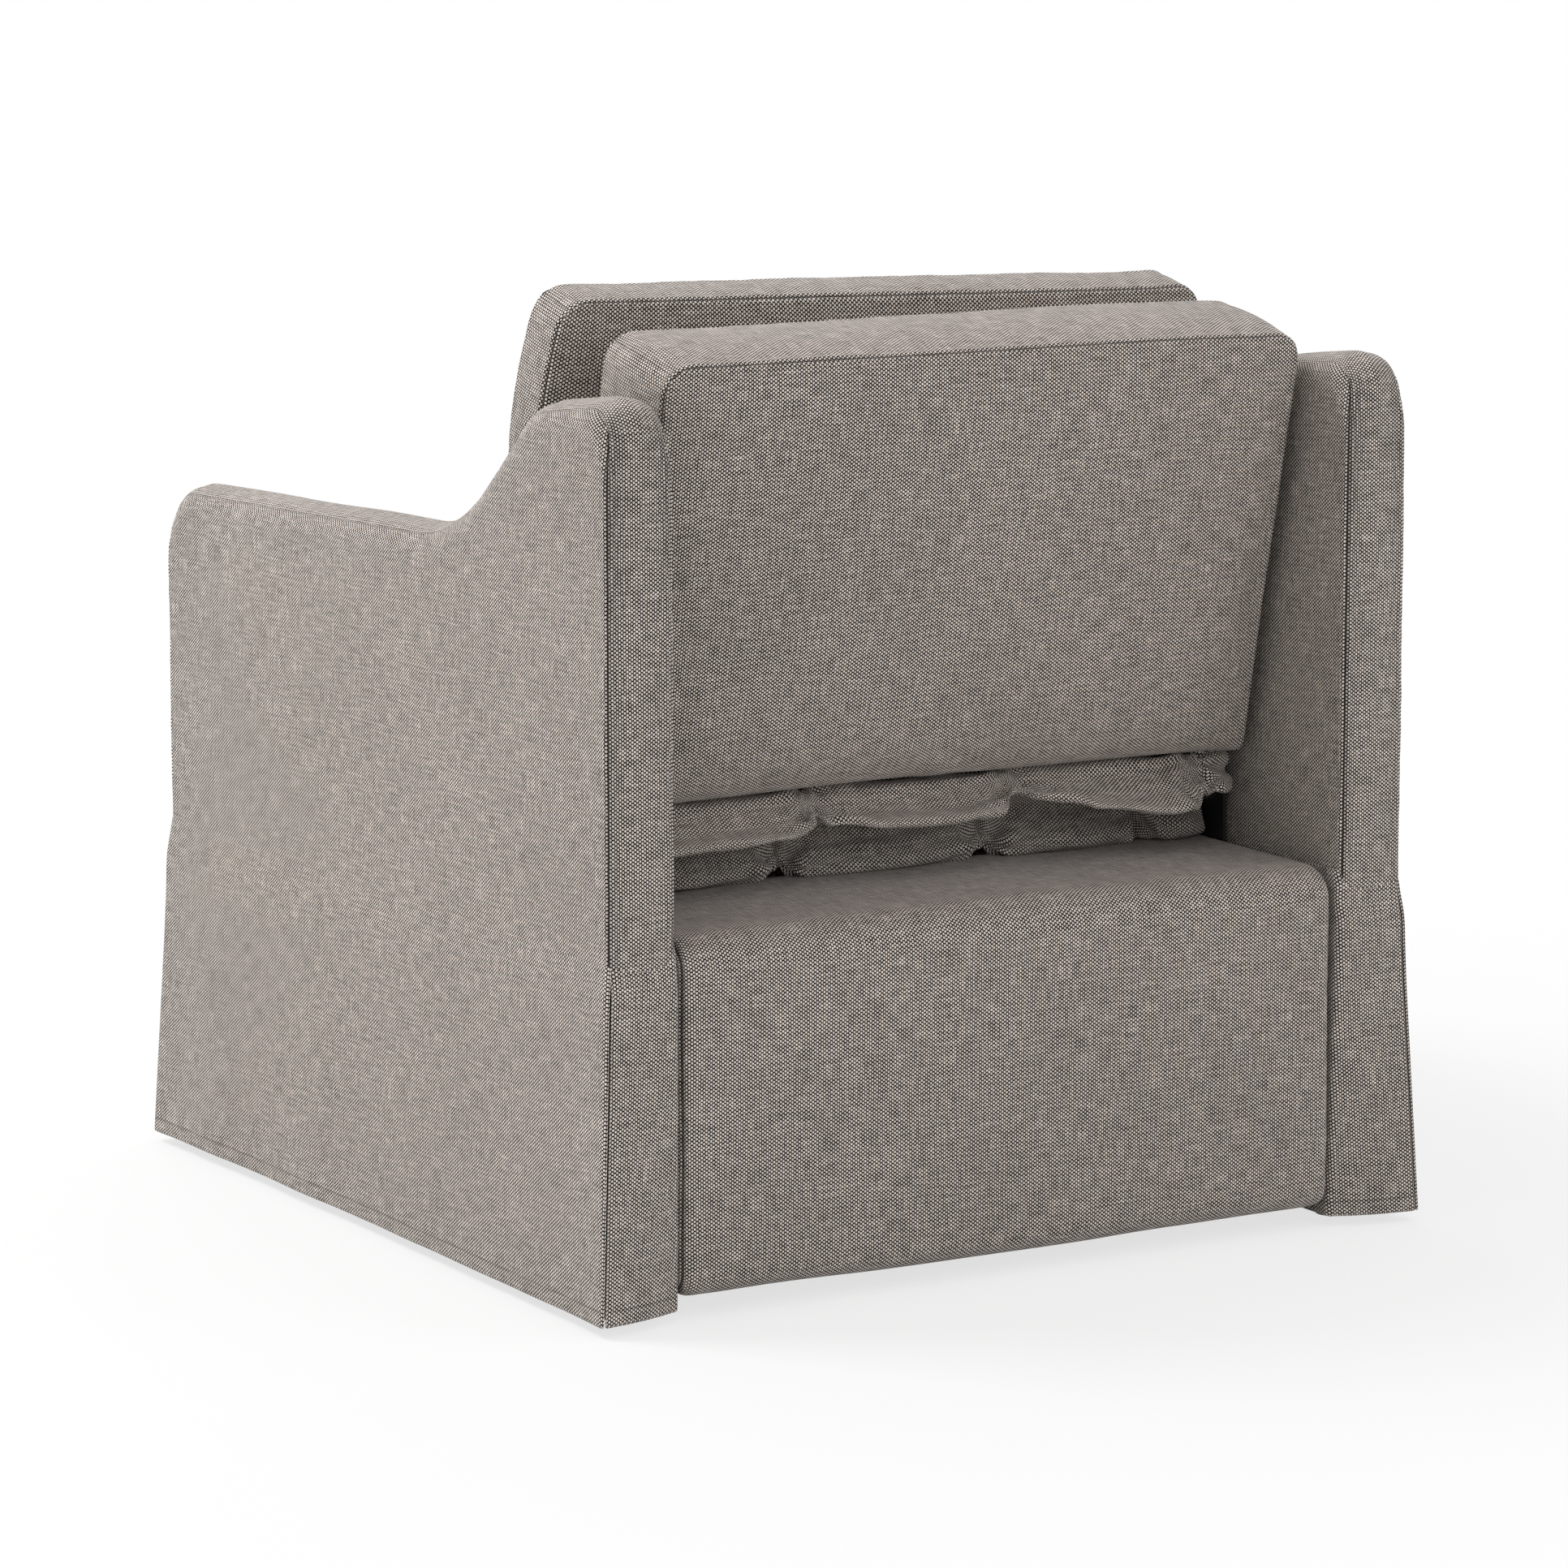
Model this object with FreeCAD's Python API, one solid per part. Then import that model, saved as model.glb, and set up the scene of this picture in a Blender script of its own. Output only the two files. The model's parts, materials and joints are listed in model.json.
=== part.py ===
"""Convertible chair bed: an armchair whose seat base rolls out and whose back lies down.

Millimetres. +Z is up, the sitter faces -Y, the sitter's left is +X, and the origin is on the
floor under the middle of the chair.
"""
import FreeCAD, Part

import math
import os

from FreeCAD import Vector

# Outer form, scaled from the photograph
WIDTH = 860.0
DEPTH = 899.0
ARM_WIDTH = 69.0
ARM_FRONT_HEIGHT = 669.0
SKIRT_TOP = 335.0
HEM_HEIGHT = 11.0
HEM_FLARE = 16.5
CLOTH = 3.0
FLOOR_GAP = 20.0

# Levels of the seat and the rear block
DECK_TOP = 345.0
SLAT_THICK = 20.0
SEAT_THICK = 110.0
SEAT_CROWN = 10.0
BLOCK_TOP = 350.0
BLOCK_FRONT = 222.0
SEAT_REAR = 190.0

# The hinged back and the loose cushion in front of it
BACK_LEAN = 12.2
BACK_HALF_WIDTH = 342.0
BACK_HEIGHT = 424.0
BACK_EDGE = 112.0
BACK_FOOT = (313.0, 438.6)
PILLOW_HALF_WIDTH = 343.0
PILLOW_EDGE = 55.0
PILLOW_FOOT = (106.0, 470.0)
PILLOW_HEIGHT = 427.0

# Back hinge and ratchet
PIVOT = (240.0, 440.0)
PIN_RADIUS = 5.0
PAWL_PIN_RADIUS = 3.0
RATCHET_RADIUS = 30.0
TOOTH_DEPTH = 4.0
TOOTH_PITCH_DEG = 15.0
LEAF_THICK = 4.0
LEAF_STEP = 6.0

# Roll-out deck
TRAVEL = 460.0
SLAT_WIDTH = 56.0
SLAT_PITCH = 64.0
CROSSBAR_DEEP = 35.0
CROSSBAR_HIGH = 40.0
RAIL_HIGH = 44.0
RAIL_WIDE = 28.0
RAIL_WALL = 2.5
WHEEL_RADIUS = 25.0
WHEEL_WIDTH = 20.0
AXLE_RADIUS = 4.0
BOLT_RADIUS = 4.0
GLIDE_RADIUS = 15.0
NAIL_RADIUS = 3.0
RUN_GAP = 0.3

LEAF_INNER = BACK_HALF_WIDTH + 1.0
PLATE_INNER = LEAF_INNER + LEAF_THICK + LEAF_STEP
PLATE_OUTER = PLATE_INNER + LEAF_THICK

HALF_W = WIDTH / 2
HALF_D = DEPTH / 2
ARM_INNER = HALF_W - ARM_WIDTH
SEAT_HALF_WIDTH = ARM_INNER - 9.0
SLAT_BOTTOM = DECK_TOP - SLAT_THICK
RAIL_TOP = SLAT_BOTTOM + 2.0


def box(x0, x1, y0, y1, z0, z1):
    """Box between two corners."""
    return Part.makeBox(x1 - x0, y1 - y0, z1 - z0, Vector(x0, y0, z0))


def rod(radius, start, end):
    """Round bar between two points."""
    a = Vector(*start)
    run = Vector(*end) - a
    return Part.makeCylinder(radius, run.Length, a, run)


def hex_head(across, start, end):
    """Hexagonal head between two points, measured across its flats."""
    a = Vector(*start)
    run = Vector(*end) - a
    radius = across / math.sqrt(3)
    corners = []
    for i in range(7):
        turn = math.radians(60 * i)
        corners.append(Vector(radius * math.cos(turn), radius * math.sin(turn), 0))
    head = Part.Face(Part.makePolygon(corners)).extrude(Vector(0, 0, run.Length))
    head.Placement = FreeCAD.Placement(a, FreeCAD.Rotation(Vector(0, 0, 1), run))
    return head


def mirrored(shape):
    """The same shape on the other side of the chair's middle plane."""
    return shape.mirror(Vector(0, 0, 0), Vector(1, 0, 0))


def save(name, *shapes):
    """Write one sub-part: one solid, or a group of separate like solids."""
    solids = [s for shape in shapes for s in shape.Solids]
    whole = solids[0] if len(solids) == 1 else Part.makeCompound(solids)
    if not whole.isValid():
        raise ValueError(name + " is not valid")
    whole.exportStep("parts/" + name + ".step")


def save_both(name, shape):
    """Write a sub-part and its mirror image as one group of two solids."""
    save(name, shape, mirrored(shape))


def save_pair(name, shape):
    """Write a left sub-part and its mirror image on the right."""
    save("left_" + name, shape)
    save("right_" + name, mirrored(shape))


def faceted(rings):
    """Closed solid through flat rings of as many corners each; its sides are flat facets."""
    faces = [Part.Face(Part.makePolygon(ring + ring[:1])) for ring in (rings[0], rings[-1])]
    count = len(rings[0])
    for near, far in zip(rings, rings[1:]):
        for i in range(count):
            j = (i + 1) % count
            a, b, c, d = near[i], near[j], far[j], far[i]
            across = (b - a).cross(c - a)
            if abs((d - a).dot(across)) < 1e-6 * across.Length:
                facets = [[a, b, c, d]]
            else:
                facets = [[a, b, c], [a, c, d]]
            faces += [Part.Face(Part.makePolygon(f + f[:1])) for f in facets]
    shell = Part.makeShell(faces)
    shell.sewShape()
    solid = Part.makeSolid(shell)
    if solid.Volume < 0:
        solid.reverse()
    return solid


def outline_yz(x, start, heading, steps):
    """Tangent run of lines and arcs in the plane at x; a positive turn is to the left."""
    y, z = start
    angle = math.radians(heading)
    edges = []
    for step in steps:
        if len(step) == 1:
            y2 = y + step[0] * math.cos(angle)
            z2 = z + step[0] * math.sin(angle)
            edges.append(Part.LineSegment(Vector(x, y, z), Vector(x, y2, z2)).toShape())
        else:
            radius, turn = step
            side = math.copysign(1.0, turn)
            cy = y - side * radius * math.sin(angle)
            cz = z + side * radius * math.cos(angle)
            half = angle + math.radians(turn) / 2
            end = angle + math.radians(turn)
            ym = cy + side * radius * math.sin(half)
            zm = cz - side * radius * math.cos(half)
            y2 = cy + side * radius * math.sin(end)
            z2 = cz - side * radius * math.cos(end)
            arc = Part.Arc(Vector(x, y, z), Vector(x, ym, zm), Vector(x, y2, z2))
            edges.append(arc.toShape())
            angle = end
        y, z = y2, z2
    return edges, (y, z)


def arm_side(x, inset, foot):
    """Side view of an arm: level rest, a rising S, then the wing beside the back."""
    nose = 45.0 - inset
    tail = 26.0
    rise = 1.8
    climb = 39.4
    crest = 7.2
    front = -HALF_D + 1.5 + inset
    shoulder = ARM_FRONT_HEIGHT - inset - nose
    steps = [
        (shoulder - foot,),
        (nose, rise - 90.0),
        (474.0,),
        (220.0 + inset, climb - rise),
        (113.0,),
        (63.0 - inset, crest - climb),
    ]
    edges, (y, z) = outline_yz(x, (front, foot), 90.0, steps)
    slope = math.radians(crest)
    level = (HALF_D - inset - y - tail * (1 + math.sin(slope))) / math.cos(slope)
    more, (y2, z2) = outline_yz(x, (y, z), crest, [(level,), (tail, -90.0 - crest)])
    edges += more
    low = Vector(x, y2, foot)
    edges.append(Part.LineSegment(Vector(x, y2, z2), low).toShape())
    edges.append(Part.LineSegment(low, Vector(x, front, foot)).toShape())
    return Part.Face(Part.Wire(edges))


def upper_rim(solid, x, low):
    """Edges of a side face at x that lie above the height low."""
    rim = []
    for edge in solid.Edges:
        b = edge.BoundBox
        if abs(b.XMin - x) < 0.01 and abs(b.XMax - x) < 0.01 and b.ZMax > low + 1:
            rim.append(edge)
    return rim


def arm_body():
    """Padded arm down to the skirt seam, and its flat padded base behind the skirts."""
    crown_outer = 24.0
    crown_inner = 24.0
    upper = arm_side(ARM_INNER, 0.0, SKIRT_TOP).extrude(Vector(ARM_WIDTH, 0, 0))
    upper = upper.makeFillet(crown_outer, upper_rim(upper, HALF_W, SKIRT_TOP))
    upper = upper.makeFillet(crown_inner, upper_rim(upper, ARM_INNER, SKIRT_TOP))
    inset = CLOTH + 2.0
    base = box(
        ARM_INNER, HALF_W - inset, -HALF_D + inset, HALF_D - inset, FLOOR_GAP, SKIRT_TOP + 40
    )
    base = base.makeFillet(8.0, [e for e in base.Edges if e.BoundBox.ZLength > 100])
    return upper.fuse(base).removeSplitter()


def arm_frame():
    """Plywood side panel inside the arm, with its lightening windows."""
    panel = arm_side(ARM_INNER + 18.0, 30.0, FLOOR_GAP + 14.0).extrude(Vector(30.0, 0, 0))
    half = 40.0
    for y in (-300.0, -150.0, 0.0, 150.0, 300.0):
        panel = panel.cut(box(ARM_INNER, HALF_W, y - half, y + half, 460.0, 460.0 + 2 * half))
    return panel


def hanging_panel(top, hem, top_bow, hem_bow):
    """Cloth from a seam down to a hem; each line is (start, end) in X and Y, bowed sideways."""

    def ring(line, z, bow):
        (xa, ya), (xb, yb) = line
        along = Vector(xb - xa, yb - ya, 0)
        out = Vector(along.y, -along.x, 0).normalize()
        runs = 4
        outer = []
        for i in range(runs + 1):
            t = i / runs
            curve = 4 * t * (1 - t)
            outer.append(Vector(xa, ya, z) + along * t + out * (bow * curve))
        return outer + [p - out * CLOTH for p in reversed(outer)]

    middle = [
        tuple((p + q) / 2 for p, q in zip(a, b)) for a, b in zip(top, hem)
    ]
    rings = [
        ring(top, SKIRT_TOP, top_bow),
        ring(middle, (SKIRT_TOP + HEM_HEIGHT) / 2, (top_bow + hem_bow) / 2),
        ring(hem, HEM_HEIGHT, hem_bow),
    ]
    return faceted(rings)


def arm_skirts():
    """Side, rear and front skirt panels of an arm, open at the corner slits."""
    slit = 1.2
    hem_x = HALF_W + HEM_FLARE
    hem_y = HALF_D + HEM_FLARE
    tuck = 0.24 * (hem_x - ARM_INNER)
    side = hanging_panel(
        ((HALF_W, -HALF_D + slit), (HALF_W, HALF_D - slit)),
        ((hem_x, -hem_y + slit), (hem_x, hem_y - slit)),
        0.3,
        -6.0,
    )
    rear = hanging_panel(
        ((HALF_W - CLOTH - slit, HALF_D), (ARM_INNER, HALF_D)),
        ((hem_x - CLOTH - slit, hem_y), (ARM_INNER, hem_y - tuck)),
        0.3,
        3.0,
    )
    front = rear.mirror(Vector(0, 0, 0), Vector(0, 1, 0))
    return side, rear, front


def loft_cushion(half_width, height, edge, front_crown, rear_crown, corner):
    """Boxed cushion: X across, Y thickness with the rear seam at 0, Z up from its foot."""

    def outline(y, inset, radius):
        """Rounded rectangle at the height y of the thickness, its corners in short runs."""
        w = half_width - inset - radius
        low = inset + radius
        high = height - inset - radius
        corners = []
        for cx, cz, first in ((w, high, 0), (-w, high, 90), (-w, low, 180), (w, low, 270)):
            for turn in (0, 30, 60, 90):
                a = math.radians(first + turn)
                corners.append(Vector(cx + radius * math.cos(a), y, cz + radius * math.sin(a)))
        return corners

    def crown(y, rise):
        """Rings of a domed face raised from the seam line, from its rim to its middle."""
        reach = 0.62 * min(half_width, height / 2)
        rings = []
        for t in (0.12, 0.3, 0.6, 1.0):
            up = 1 - (1 - t) ** 2.2
            rings.append(outline(y + rise * up, reach * t, corner * (1 + 0.6 * t)))
        return rings

    waist = 2.0
    rings = [outline(0, 0, corner), outline(edge / 2, waist, corner), outline(edge, 0, corner)]
    rings += crown(edge, front_crown)
    if rear_crown:
        rings = crown(0.0, -rear_crown)[::-1] + rings
    return faceted(rings)


def leaned(shape, foot):
    """Stand a cushion on its foot, rear seam to the rear, leaning back by BACK_LEAN."""
    placed = shape.mirror(Vector(0, 0, 0), Vector(0, 1, 0))
    placed.rotate(Vector(0, 0, 0), Vector(1, 0, 0), -BACK_LEAN)
    placed.translate(Vector(0, *foot))
    return placed


def on_back(across, forward, up):
    """World point from a place on the back: across, forward from its rear seam, up."""
    lean = math.radians(BACK_LEAN)
    y = BACK_FOOT[0] - forward * math.cos(lean) + up * math.sin(lean)
    z = BACK_FOOT[1] + forward * math.sin(lean) + up * math.cos(lean)
    return (across, y, z)


def back_box(x0, x1, w0, w1, t0, t1):
    """Box in the back's own directions: across, forward and up."""
    return leaned(box(x0, x1, w0, w1, t0, t1), BACK_FOOT)


def backrest():
    """Hinged back: a boxed cushion round a plywood frame, and the bolts of its hinge arms."""
    cushion = loft_cushion(BACK_HALF_WIDTH, BACK_HEIGHT, BACK_EDGE, 20.0, 10.0, 28.0)
    cushion = leaned(cushion, BACK_FOOT)
    margin = 28.0
    rail = 80.0
    side = BACK_HALF_WIDTH - margin
    top = BACK_HEIGHT - margin
    middle = BACK_EDGE / 2
    half_thick = 9.0
    frame = back_box(-side, side, middle - half_thick, middle + half_thick, margin, top)
    window = back_box(
        -side + rail, side - rail, middle - 10.0, middle + 10.0, margin + rail, top - rail
    )
    frame = frame.cut(window)
    leaf_face = LEAF_INNER + LEAF_THICK
    bolts = []
    for up in (60.0, 105.0):
        shank = rod(BOLT_RADIUS, on_back(leaf_face, middle, up), on_back(side - 40.0, middle, up))
        head = hex_head(13.0, on_back(leaf_face, middle, up), on_back(leaf_face + 2.5, middle, up))
        bolts.append(shank.fuse(head))
    bolts += [mirrored(bolt) for bolt in bolts]
    return cushion.cut([frame] + bolts), frame.cut(bolts), bolts


def plate_yz(x, corners):
    """Flat steel of leaf thickness from x outward, through corners in Y and Z."""
    points = [Vector(x, y, z) for y, z in corners]
    return Part.Face(Part.makePolygon(points + points[:1])).extrude(Vector(LEAF_THICK, 0, 0))


def round_plate(radius, x, centre):
    """Disc of leaf thickness from x outward."""
    return rod(radius, (x, *centre), (x + LEAF_THICK, *centre))


def round_hole(radius, x, centre):
    """Tool for a hole through flat steel that starts at x."""
    return rod(radius, (x - 1, *centre), (x + LEAF_THICK + 1, *centre))


def polar(radius, degrees):
    """Point in Y and Z round the back's pivot."""
    a = math.radians(degrees)
    return (PIVOT[0] + radius * math.cos(a), PIVOT[1] + radius * math.sin(a))


def moving_leaf():
    """Hinge arm that carries the back, with the ratchet teeth round its pivot."""
    half = 15.0
    foot = -2.0
    reach = 128.0
    middle = BACK_EDGE / 2
    arm = back_box(
        LEAF_INNER, LEAF_INNER + LEAF_THICK, middle - half, middle + half, foot, reach
    )
    arm = arm.makeFillet(12.0, [e for e in arm.Edges if abs(e.Length - LEAF_THICK) < 0.01])
    leaf = round_plate(RATCHET_RADIUS, LEAF_INNER, PIVOT).fuse(arm)
    first_deg = 200.0
    tooth_count = 7
    teeth = []
    for i in range(tooth_count):
        a = first_deg + i * TOOTH_PITCH_DEG
        b = a + TOOTH_PITCH_DEG * 0.45
        out = RATCHET_RADIUS + 2.0
        deep = RATCHET_RADIUS - TOOTH_DEPTH
        teeth.append(plate_yz(LEAF_INNER, [polar(out, a), polar(deep, a), polar(out, b)]))
    leaf = leaf.cut(teeth)
    return leaf.cut(round_hole(PIN_RADIUS + RUN_GAP, LEAF_INNER, PIVOT))


def fixed_leaf():
    """Hinge plate on the arm side of the pivot, running down to the rear block's side."""
    front = PIVOT[0] - 16.0
    neck_rear = PIVOT[0] + 24.0
    foot_rear = PIVOT[0] + 70.0
    low = 250.0
    shoulder = 335.0
    corners = [
        (front, low),
        (foot_rear, low),
        (foot_rear, shoulder),
        (neck_rear, shoulder),
        (neck_rear, PIVOT[1]),
        (front, PIVOT[1]),
    ]
    plate = plate_yz(PLATE_INNER, corners)
    plate = plate.fuse(round_plate(24.0, PLATE_INNER, PIVOT)).removeSplitter()
    holes = [round_hole(PIN_RADIUS, PLATE_INNER, PIVOT)]
    holes += [round_hole(BOLT_RADIUS, PLATE_INNER, place) for place in leaf_screws()]
    holes.append(round_hole(PAWL_PIN_RADIUS, PLATE_INNER, pawl_pivot()))
    return plate.cut(holes)


def leaf_screws():
    """Where the fixed leaf is screwed to the rear block's side board."""
    near = PIVOT[0] + 5.0
    far = PIVOT[0] + 50.0
    return [(near, 268.0), (far, 268.0), (near, 315.0)]


def pawl_pivot():
    """Centre of the pawl's pin, below the ratchet."""
    return (PIVOT[0] - 6.0, PIVOT[1] - 52.0)


def pawl():
    """Catch beside the ratchet teeth; it swings forward and down, clear of them."""
    y, z = pawl_pivot()
    eye = 7.0
    reach = RATCHET_RADIUS + 1.1
    finger = plate_yz(
        LEAF_INNER,
        [(y - 6.5, z + 2.0), polar(reach, 244.0), polar(reach, 251.5), (y + 6.5, z + 2.0)],
    )
    lever = box(LEAF_INNER, LEAF_INNER + LEAF_THICK, y - 22.0, y, z - 5.0, z + 3.0)
    whole = round_plate(eye, LEAF_INNER, (y, z)).fuse([finger, lever]).removeSplitter()
    return whole.cut(round_hole(PAWL_PIN_RADIUS + RUN_GAP, LEAF_INNER, (y, z)))


def hinge_pins():
    """Back pivot pin and the pawl's pin, both riveted in the fixed leaf."""
    pins = []
    for radius, collar, centre in ((PIN_RADIUS, 9.0, PIVOT), (PAWL_PIN_RADIUS, 5.0, pawl_pivot())):
        pin = rod(radius, (LEAF_INNER - 0.5, *centre), (PLATE_OUTER, *centre))
        start = LEAF_INNER + LEAF_THICK + 0.5
        washer = rod(collar, (start, *centre), (PLATE_INNER - 0.2, *centre))
        pins.append(pin.fuse(washer))
    return pins


def channel():
    """Steel C rail beside the seat, open inward, that the roll-out deck runs in."""
    x0 = ARM_INNER - RAIL_WIDE
    z0 = RAIL_TOP - RAIL_HIGH
    bar = box(x0, ARM_INNER, -420.0, BLOCK_FRONT, z0, RAIL_TOP)
    slot = box(
        x0 - 1, ARM_INNER - RAIL_WALL, -421.0, BLOCK_FRONT + 1, z0 + RAIL_WALL, RAIL_TOP - RAIL_WALL
    )
    return bar.cut(slot)


def rail_bolts():
    """Bolts through a rail, the arm's padding and its side panel."""
    z = RAIL_TOP - RAIL_HIGH / 2
    bolts = []
    for y in (-390.0, -90.0, 205.0):
        shank = rod(BOLT_RADIUS, (ARM_INNER - RAIL_WALL, y, z), (ARM_INNER + 40.0, y, z))
        head = hex_head(13.0, (ARM_INNER - RAIL_WALL - 4.0, y, z), (ARM_INNER - RAIL_WALL, y, z))
        bolts.append(shank.fuse(head))
    return bolts


def guide_block():
    """Nylon block on the end of the moving crossbar, running in the rail."""
    x0 = ARM_INNER - RAIL_WIDE
    z0 = RAIL_TOP - RAIL_HIGH + RAIL_WALL + RUN_GAP
    z1 = RAIL_TOP - RAIL_WALL - RUN_GAP
    # it clears the heads of the rail's bolts
    return box(x0 - 3.0, x0 + 20.0, moving_bar_front(), moving_bar_front() + CROSSBAR_DEEP, z0, z1)


def moving_bar_front():
    """Front face of the moving crossbar when the deck is in."""
    return SEAT_REAR - CROSSBAR_DEEP - 10.0


def slat(x, y0, y1):
    """One wooden deck slat with eased top edges."""
    bar = box(x - SLAT_WIDTH / 2, x + SLAT_WIDTH / 2, y0, y1, SLAT_BOTTOM, DECK_TOP)
    top = [e for e in bar.Edges if e.BoundBox.ZMin > DECK_TOP - 1 and e.BoundBox.YLength > 100]
    return bar.makeFillet(4.0, top)


def deck():
    """Comb of fixed and moving slats, with the crossbars that carry them."""
    stop_rear = moving_bar_front() - TRAVEL
    moving_x = [SLAT_PITCH * k for k in (-4, -2, 0, 2, 4)]
    fixed_x = [SLAT_PITCH * k for k in (-3, -1, 1, 3)]
    moving = [slat(x, -440.0, moving_bar_front() + CROSSBAR_DEEP) for x in moving_x]
    fixed = [slat(x, stop_rear - CROSSBAR_DEEP, BLOCK_FRONT) for x in fixed_x]
    inner = ARM_INNER - RAIL_WIDE
    low = SLAT_BOTTOM - CROSSBAR_HIGH
    stop_bar = box(-inner, inner, stop_rear - CROSSBAR_DEEP, stop_rear, low, SLAT_BOTTOM)
    bar_end = inner - 3.0
    y0 = moving_bar_front()
    rear_bar = box(-bar_end, bar_end, y0, y0 + CROSSBAR_DEEP, low, SLAT_BOTTOM)
    return moving, fixed, stop_bar, rear_bar


def front_assembly():
    """Padded front of the roll-out deck, its skirt and its pull strap."""
    half = SEAT_HALF_WIDTH
    board = box(-half + 10, half - 10, -440.0, -422.0, 60.0, SLAT_BOTTOM)
    pad = box(-half, half, -HALF_D + CLOTH + 1.5, -440.0, 40.0, DECK_TOP)
    pad = pad.makeFillet(2.5, [e for e in pad.Edges if e.BoundBox.YMax < -HALF_D + CLOTH + 2])
    hem_y = -HALF_D - HEM_FLARE
    skirt = hanging_panel(
        ((-half, -HALF_D + 1.0), (half, -HALF_D + 1.0)),
        ((-half, hem_y + 0.5), (half, hem_y + 0.5)),
        0.3,
        -4.0,
    )
    return board, pad, skirt


def pull_strap():
    """Webbing loop on the middle of the roll-out front."""
    half = 20.0
    web = 2.5
    outer_y = -HALF_D - HEM_FLARE
    gap = 7.0
    z0 = 250.0
    z1 = 328.0
    loop = box(-half, half, outer_y, -HALF_D + 1.0, z0, z1)
    bends = [e for e in loop.Edges if e.BoundBox.YMax < outer_y + 0.1 and e.BoundBox.XLength > 10]
    loop = loop.makeFillet(5.0, bends)
    hole = box(-half - 1, half + 1, outer_y + web, outer_y + web + gap, z0 + web, z1 - web)
    return loop.cut(hole)


def castor():
    """Fixed castor behind the roll-out front: bracket, axle and wheel, left side."""
    x = 270.0
    y = -388.0
    z = WHEEL_RADIUS
    gap = 1.5
    half = WHEEL_WIDTH / 2 + gap
    wall = 3.0
    hub = AXLE_RADIUS + RUN_GAP
    dish = 4.0
    boss = 5.0
    tread = 7.0
    side = WHEEL_WIDTH / 2
    half_section = [
        (side, hub),
        (side, hub + boss),
        (side - dish, hub + boss),
        (side - dish, WHEEL_RADIUS - tread),
        (side, WHEEL_RADIUS - tread),
        (side, WHEEL_RADIUS),
    ]
    section = half_section + [(-px, pr) for px, pr in reversed(half_section)]
    corners = [Vector(x + px, y, z + pr) for px, pr in section]
    wheel = Part.Face(Part.makePolygon(corners + corners[:1]))
    wheel = wheel.revolve(Vector(x, y, z), Vector(1, 0, 0), 360)
    cheeks = box(x - half - wall, x + half + wall, y - 12, y + 12, z - 12.0, z + 45.0)
    cheeks = cheeks.cut(box(x - half, x + half, y - 13, y + 13, z - 13.0, z + WHEEL_RADIUS + 5.0))
    cheeks = cheeks.makeFillet(
        11.0, [e for e in cheeks.Edges if e.BoundBox.ZMax < z - 11 and e.BoundBox.YLength < 0.1
               and e.BoundBox.XLength < wall + 1]
    )
    foot = box(x - 22, x + 22, -422.0, -419.0, z + 40.0, z + 90.0)
    arm = box(x - half - wall, x + half + wall, -422.0, y + 12, z + 40.0, z + 45.0)
    bracket = cheeks.fuse([arm, foot]).removeSplitter()
    bore = rod(AXLE_RADIUS, (x - 30, y, z), (x + 30, y, z))
    bracket = bracket.cut(bore)
    axle = rod(AXLE_RADIUS, (x - half - wall, y, z), (x + half + wall, y, z))
    for side in (-1, 1):
        face = x + side * (half + wall)
        axle = axle.fuse(rod(7.0, (face, y, z), (face + side * 2.5, y, z)))
    return bracket, axle, wheel


def rear_block():
    """Padded cover of the box across the rear, closed all round, and the six boards inside."""
    half = SEAT_HALF_WIDTH
    board = 12.0
    skin = 9.0
    rear_skin = 20.0
    outer = box(-half, half, BLOCK_FRONT, HALF_D, FLOOR_GAP, BLOCK_TOP)
    runs_back = [
        e for e in outer.Edges if e.BoundBox.YLength > 100 and e.BoundBox.ZMax < FLOOR_GAP + 1
    ]
    outer = outer.makeFillet(25.0, runs_back)
    top_rear = [
        e for e in outer.Edges
        if e.BoundBox.YMin > HALF_D - 1 and e.BoundBox.ZMin > BLOCK_TOP - 1
    ]
    outer = outer.makeFillet(38.0, top_rear)
    x1 = half - skin
    y0 = BLOCK_FRONT + skin
    y1 = HALF_D - rear_skin
    z0 = FLOOR_GAP + skin
    z1 = BLOCK_TOP - rear_skin
    cover = outer.cut(box(-x1, x1, y0, y1, z0, z1))
    boards = {
        "rear_box_front_board": box(-x1, x1, y0, y0 + board, z0, z1),
        "rear_box_back_board": box(-x1, x1, y1 - board, y1, z0, z1),
        "left_rear_box_board": box(x1 - board, x1, y0 + board, y1 - board, z0, z1),
        "right_rear_box_board": box(-x1, board - x1, y0 + board, y1 - board, z0, z1),
        "rear_box_top_board": box(
            board - x1, x1 - board, y0 + board, y1 - board, z1 - board, z1
        ),
        "rear_box_bottom_board": box(
            board - x1, x1 - board, y0 + board, y1 - board, z0, z0 + board
        ),
    }
    return cover, boards


def leaf_screw_group():
    """Screws that hold a fixed leaf through the block's padding to its side board."""
    screws = []
    for y, z in leaf_screws():
        shank = rod(BOLT_RADIUS, (SEAT_HALF_WIDTH - 20.0, y, z), (PLATE_OUTER, y, z))
        head = hex_head(12.0, (PLATE_OUTER, y, z), (PLATE_OUTER + 2.5, y, z))
        screws.append(shank.fuse(head))
    return screws


def between(stations, x):
    """Values at x, eased between the two nearest stations."""
    for a, b in zip(stations, stations[1:]):
        if a[0] >= x >= b[0]:
            t = (a[0] - x) / (a[0] - b[0])
            ease = t * t * (3 - 2 * t)
            return [p + (q - p) * ease for p, q in zip(a[1:], b[1:])]
    return list(stations[-1][1:])


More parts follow.
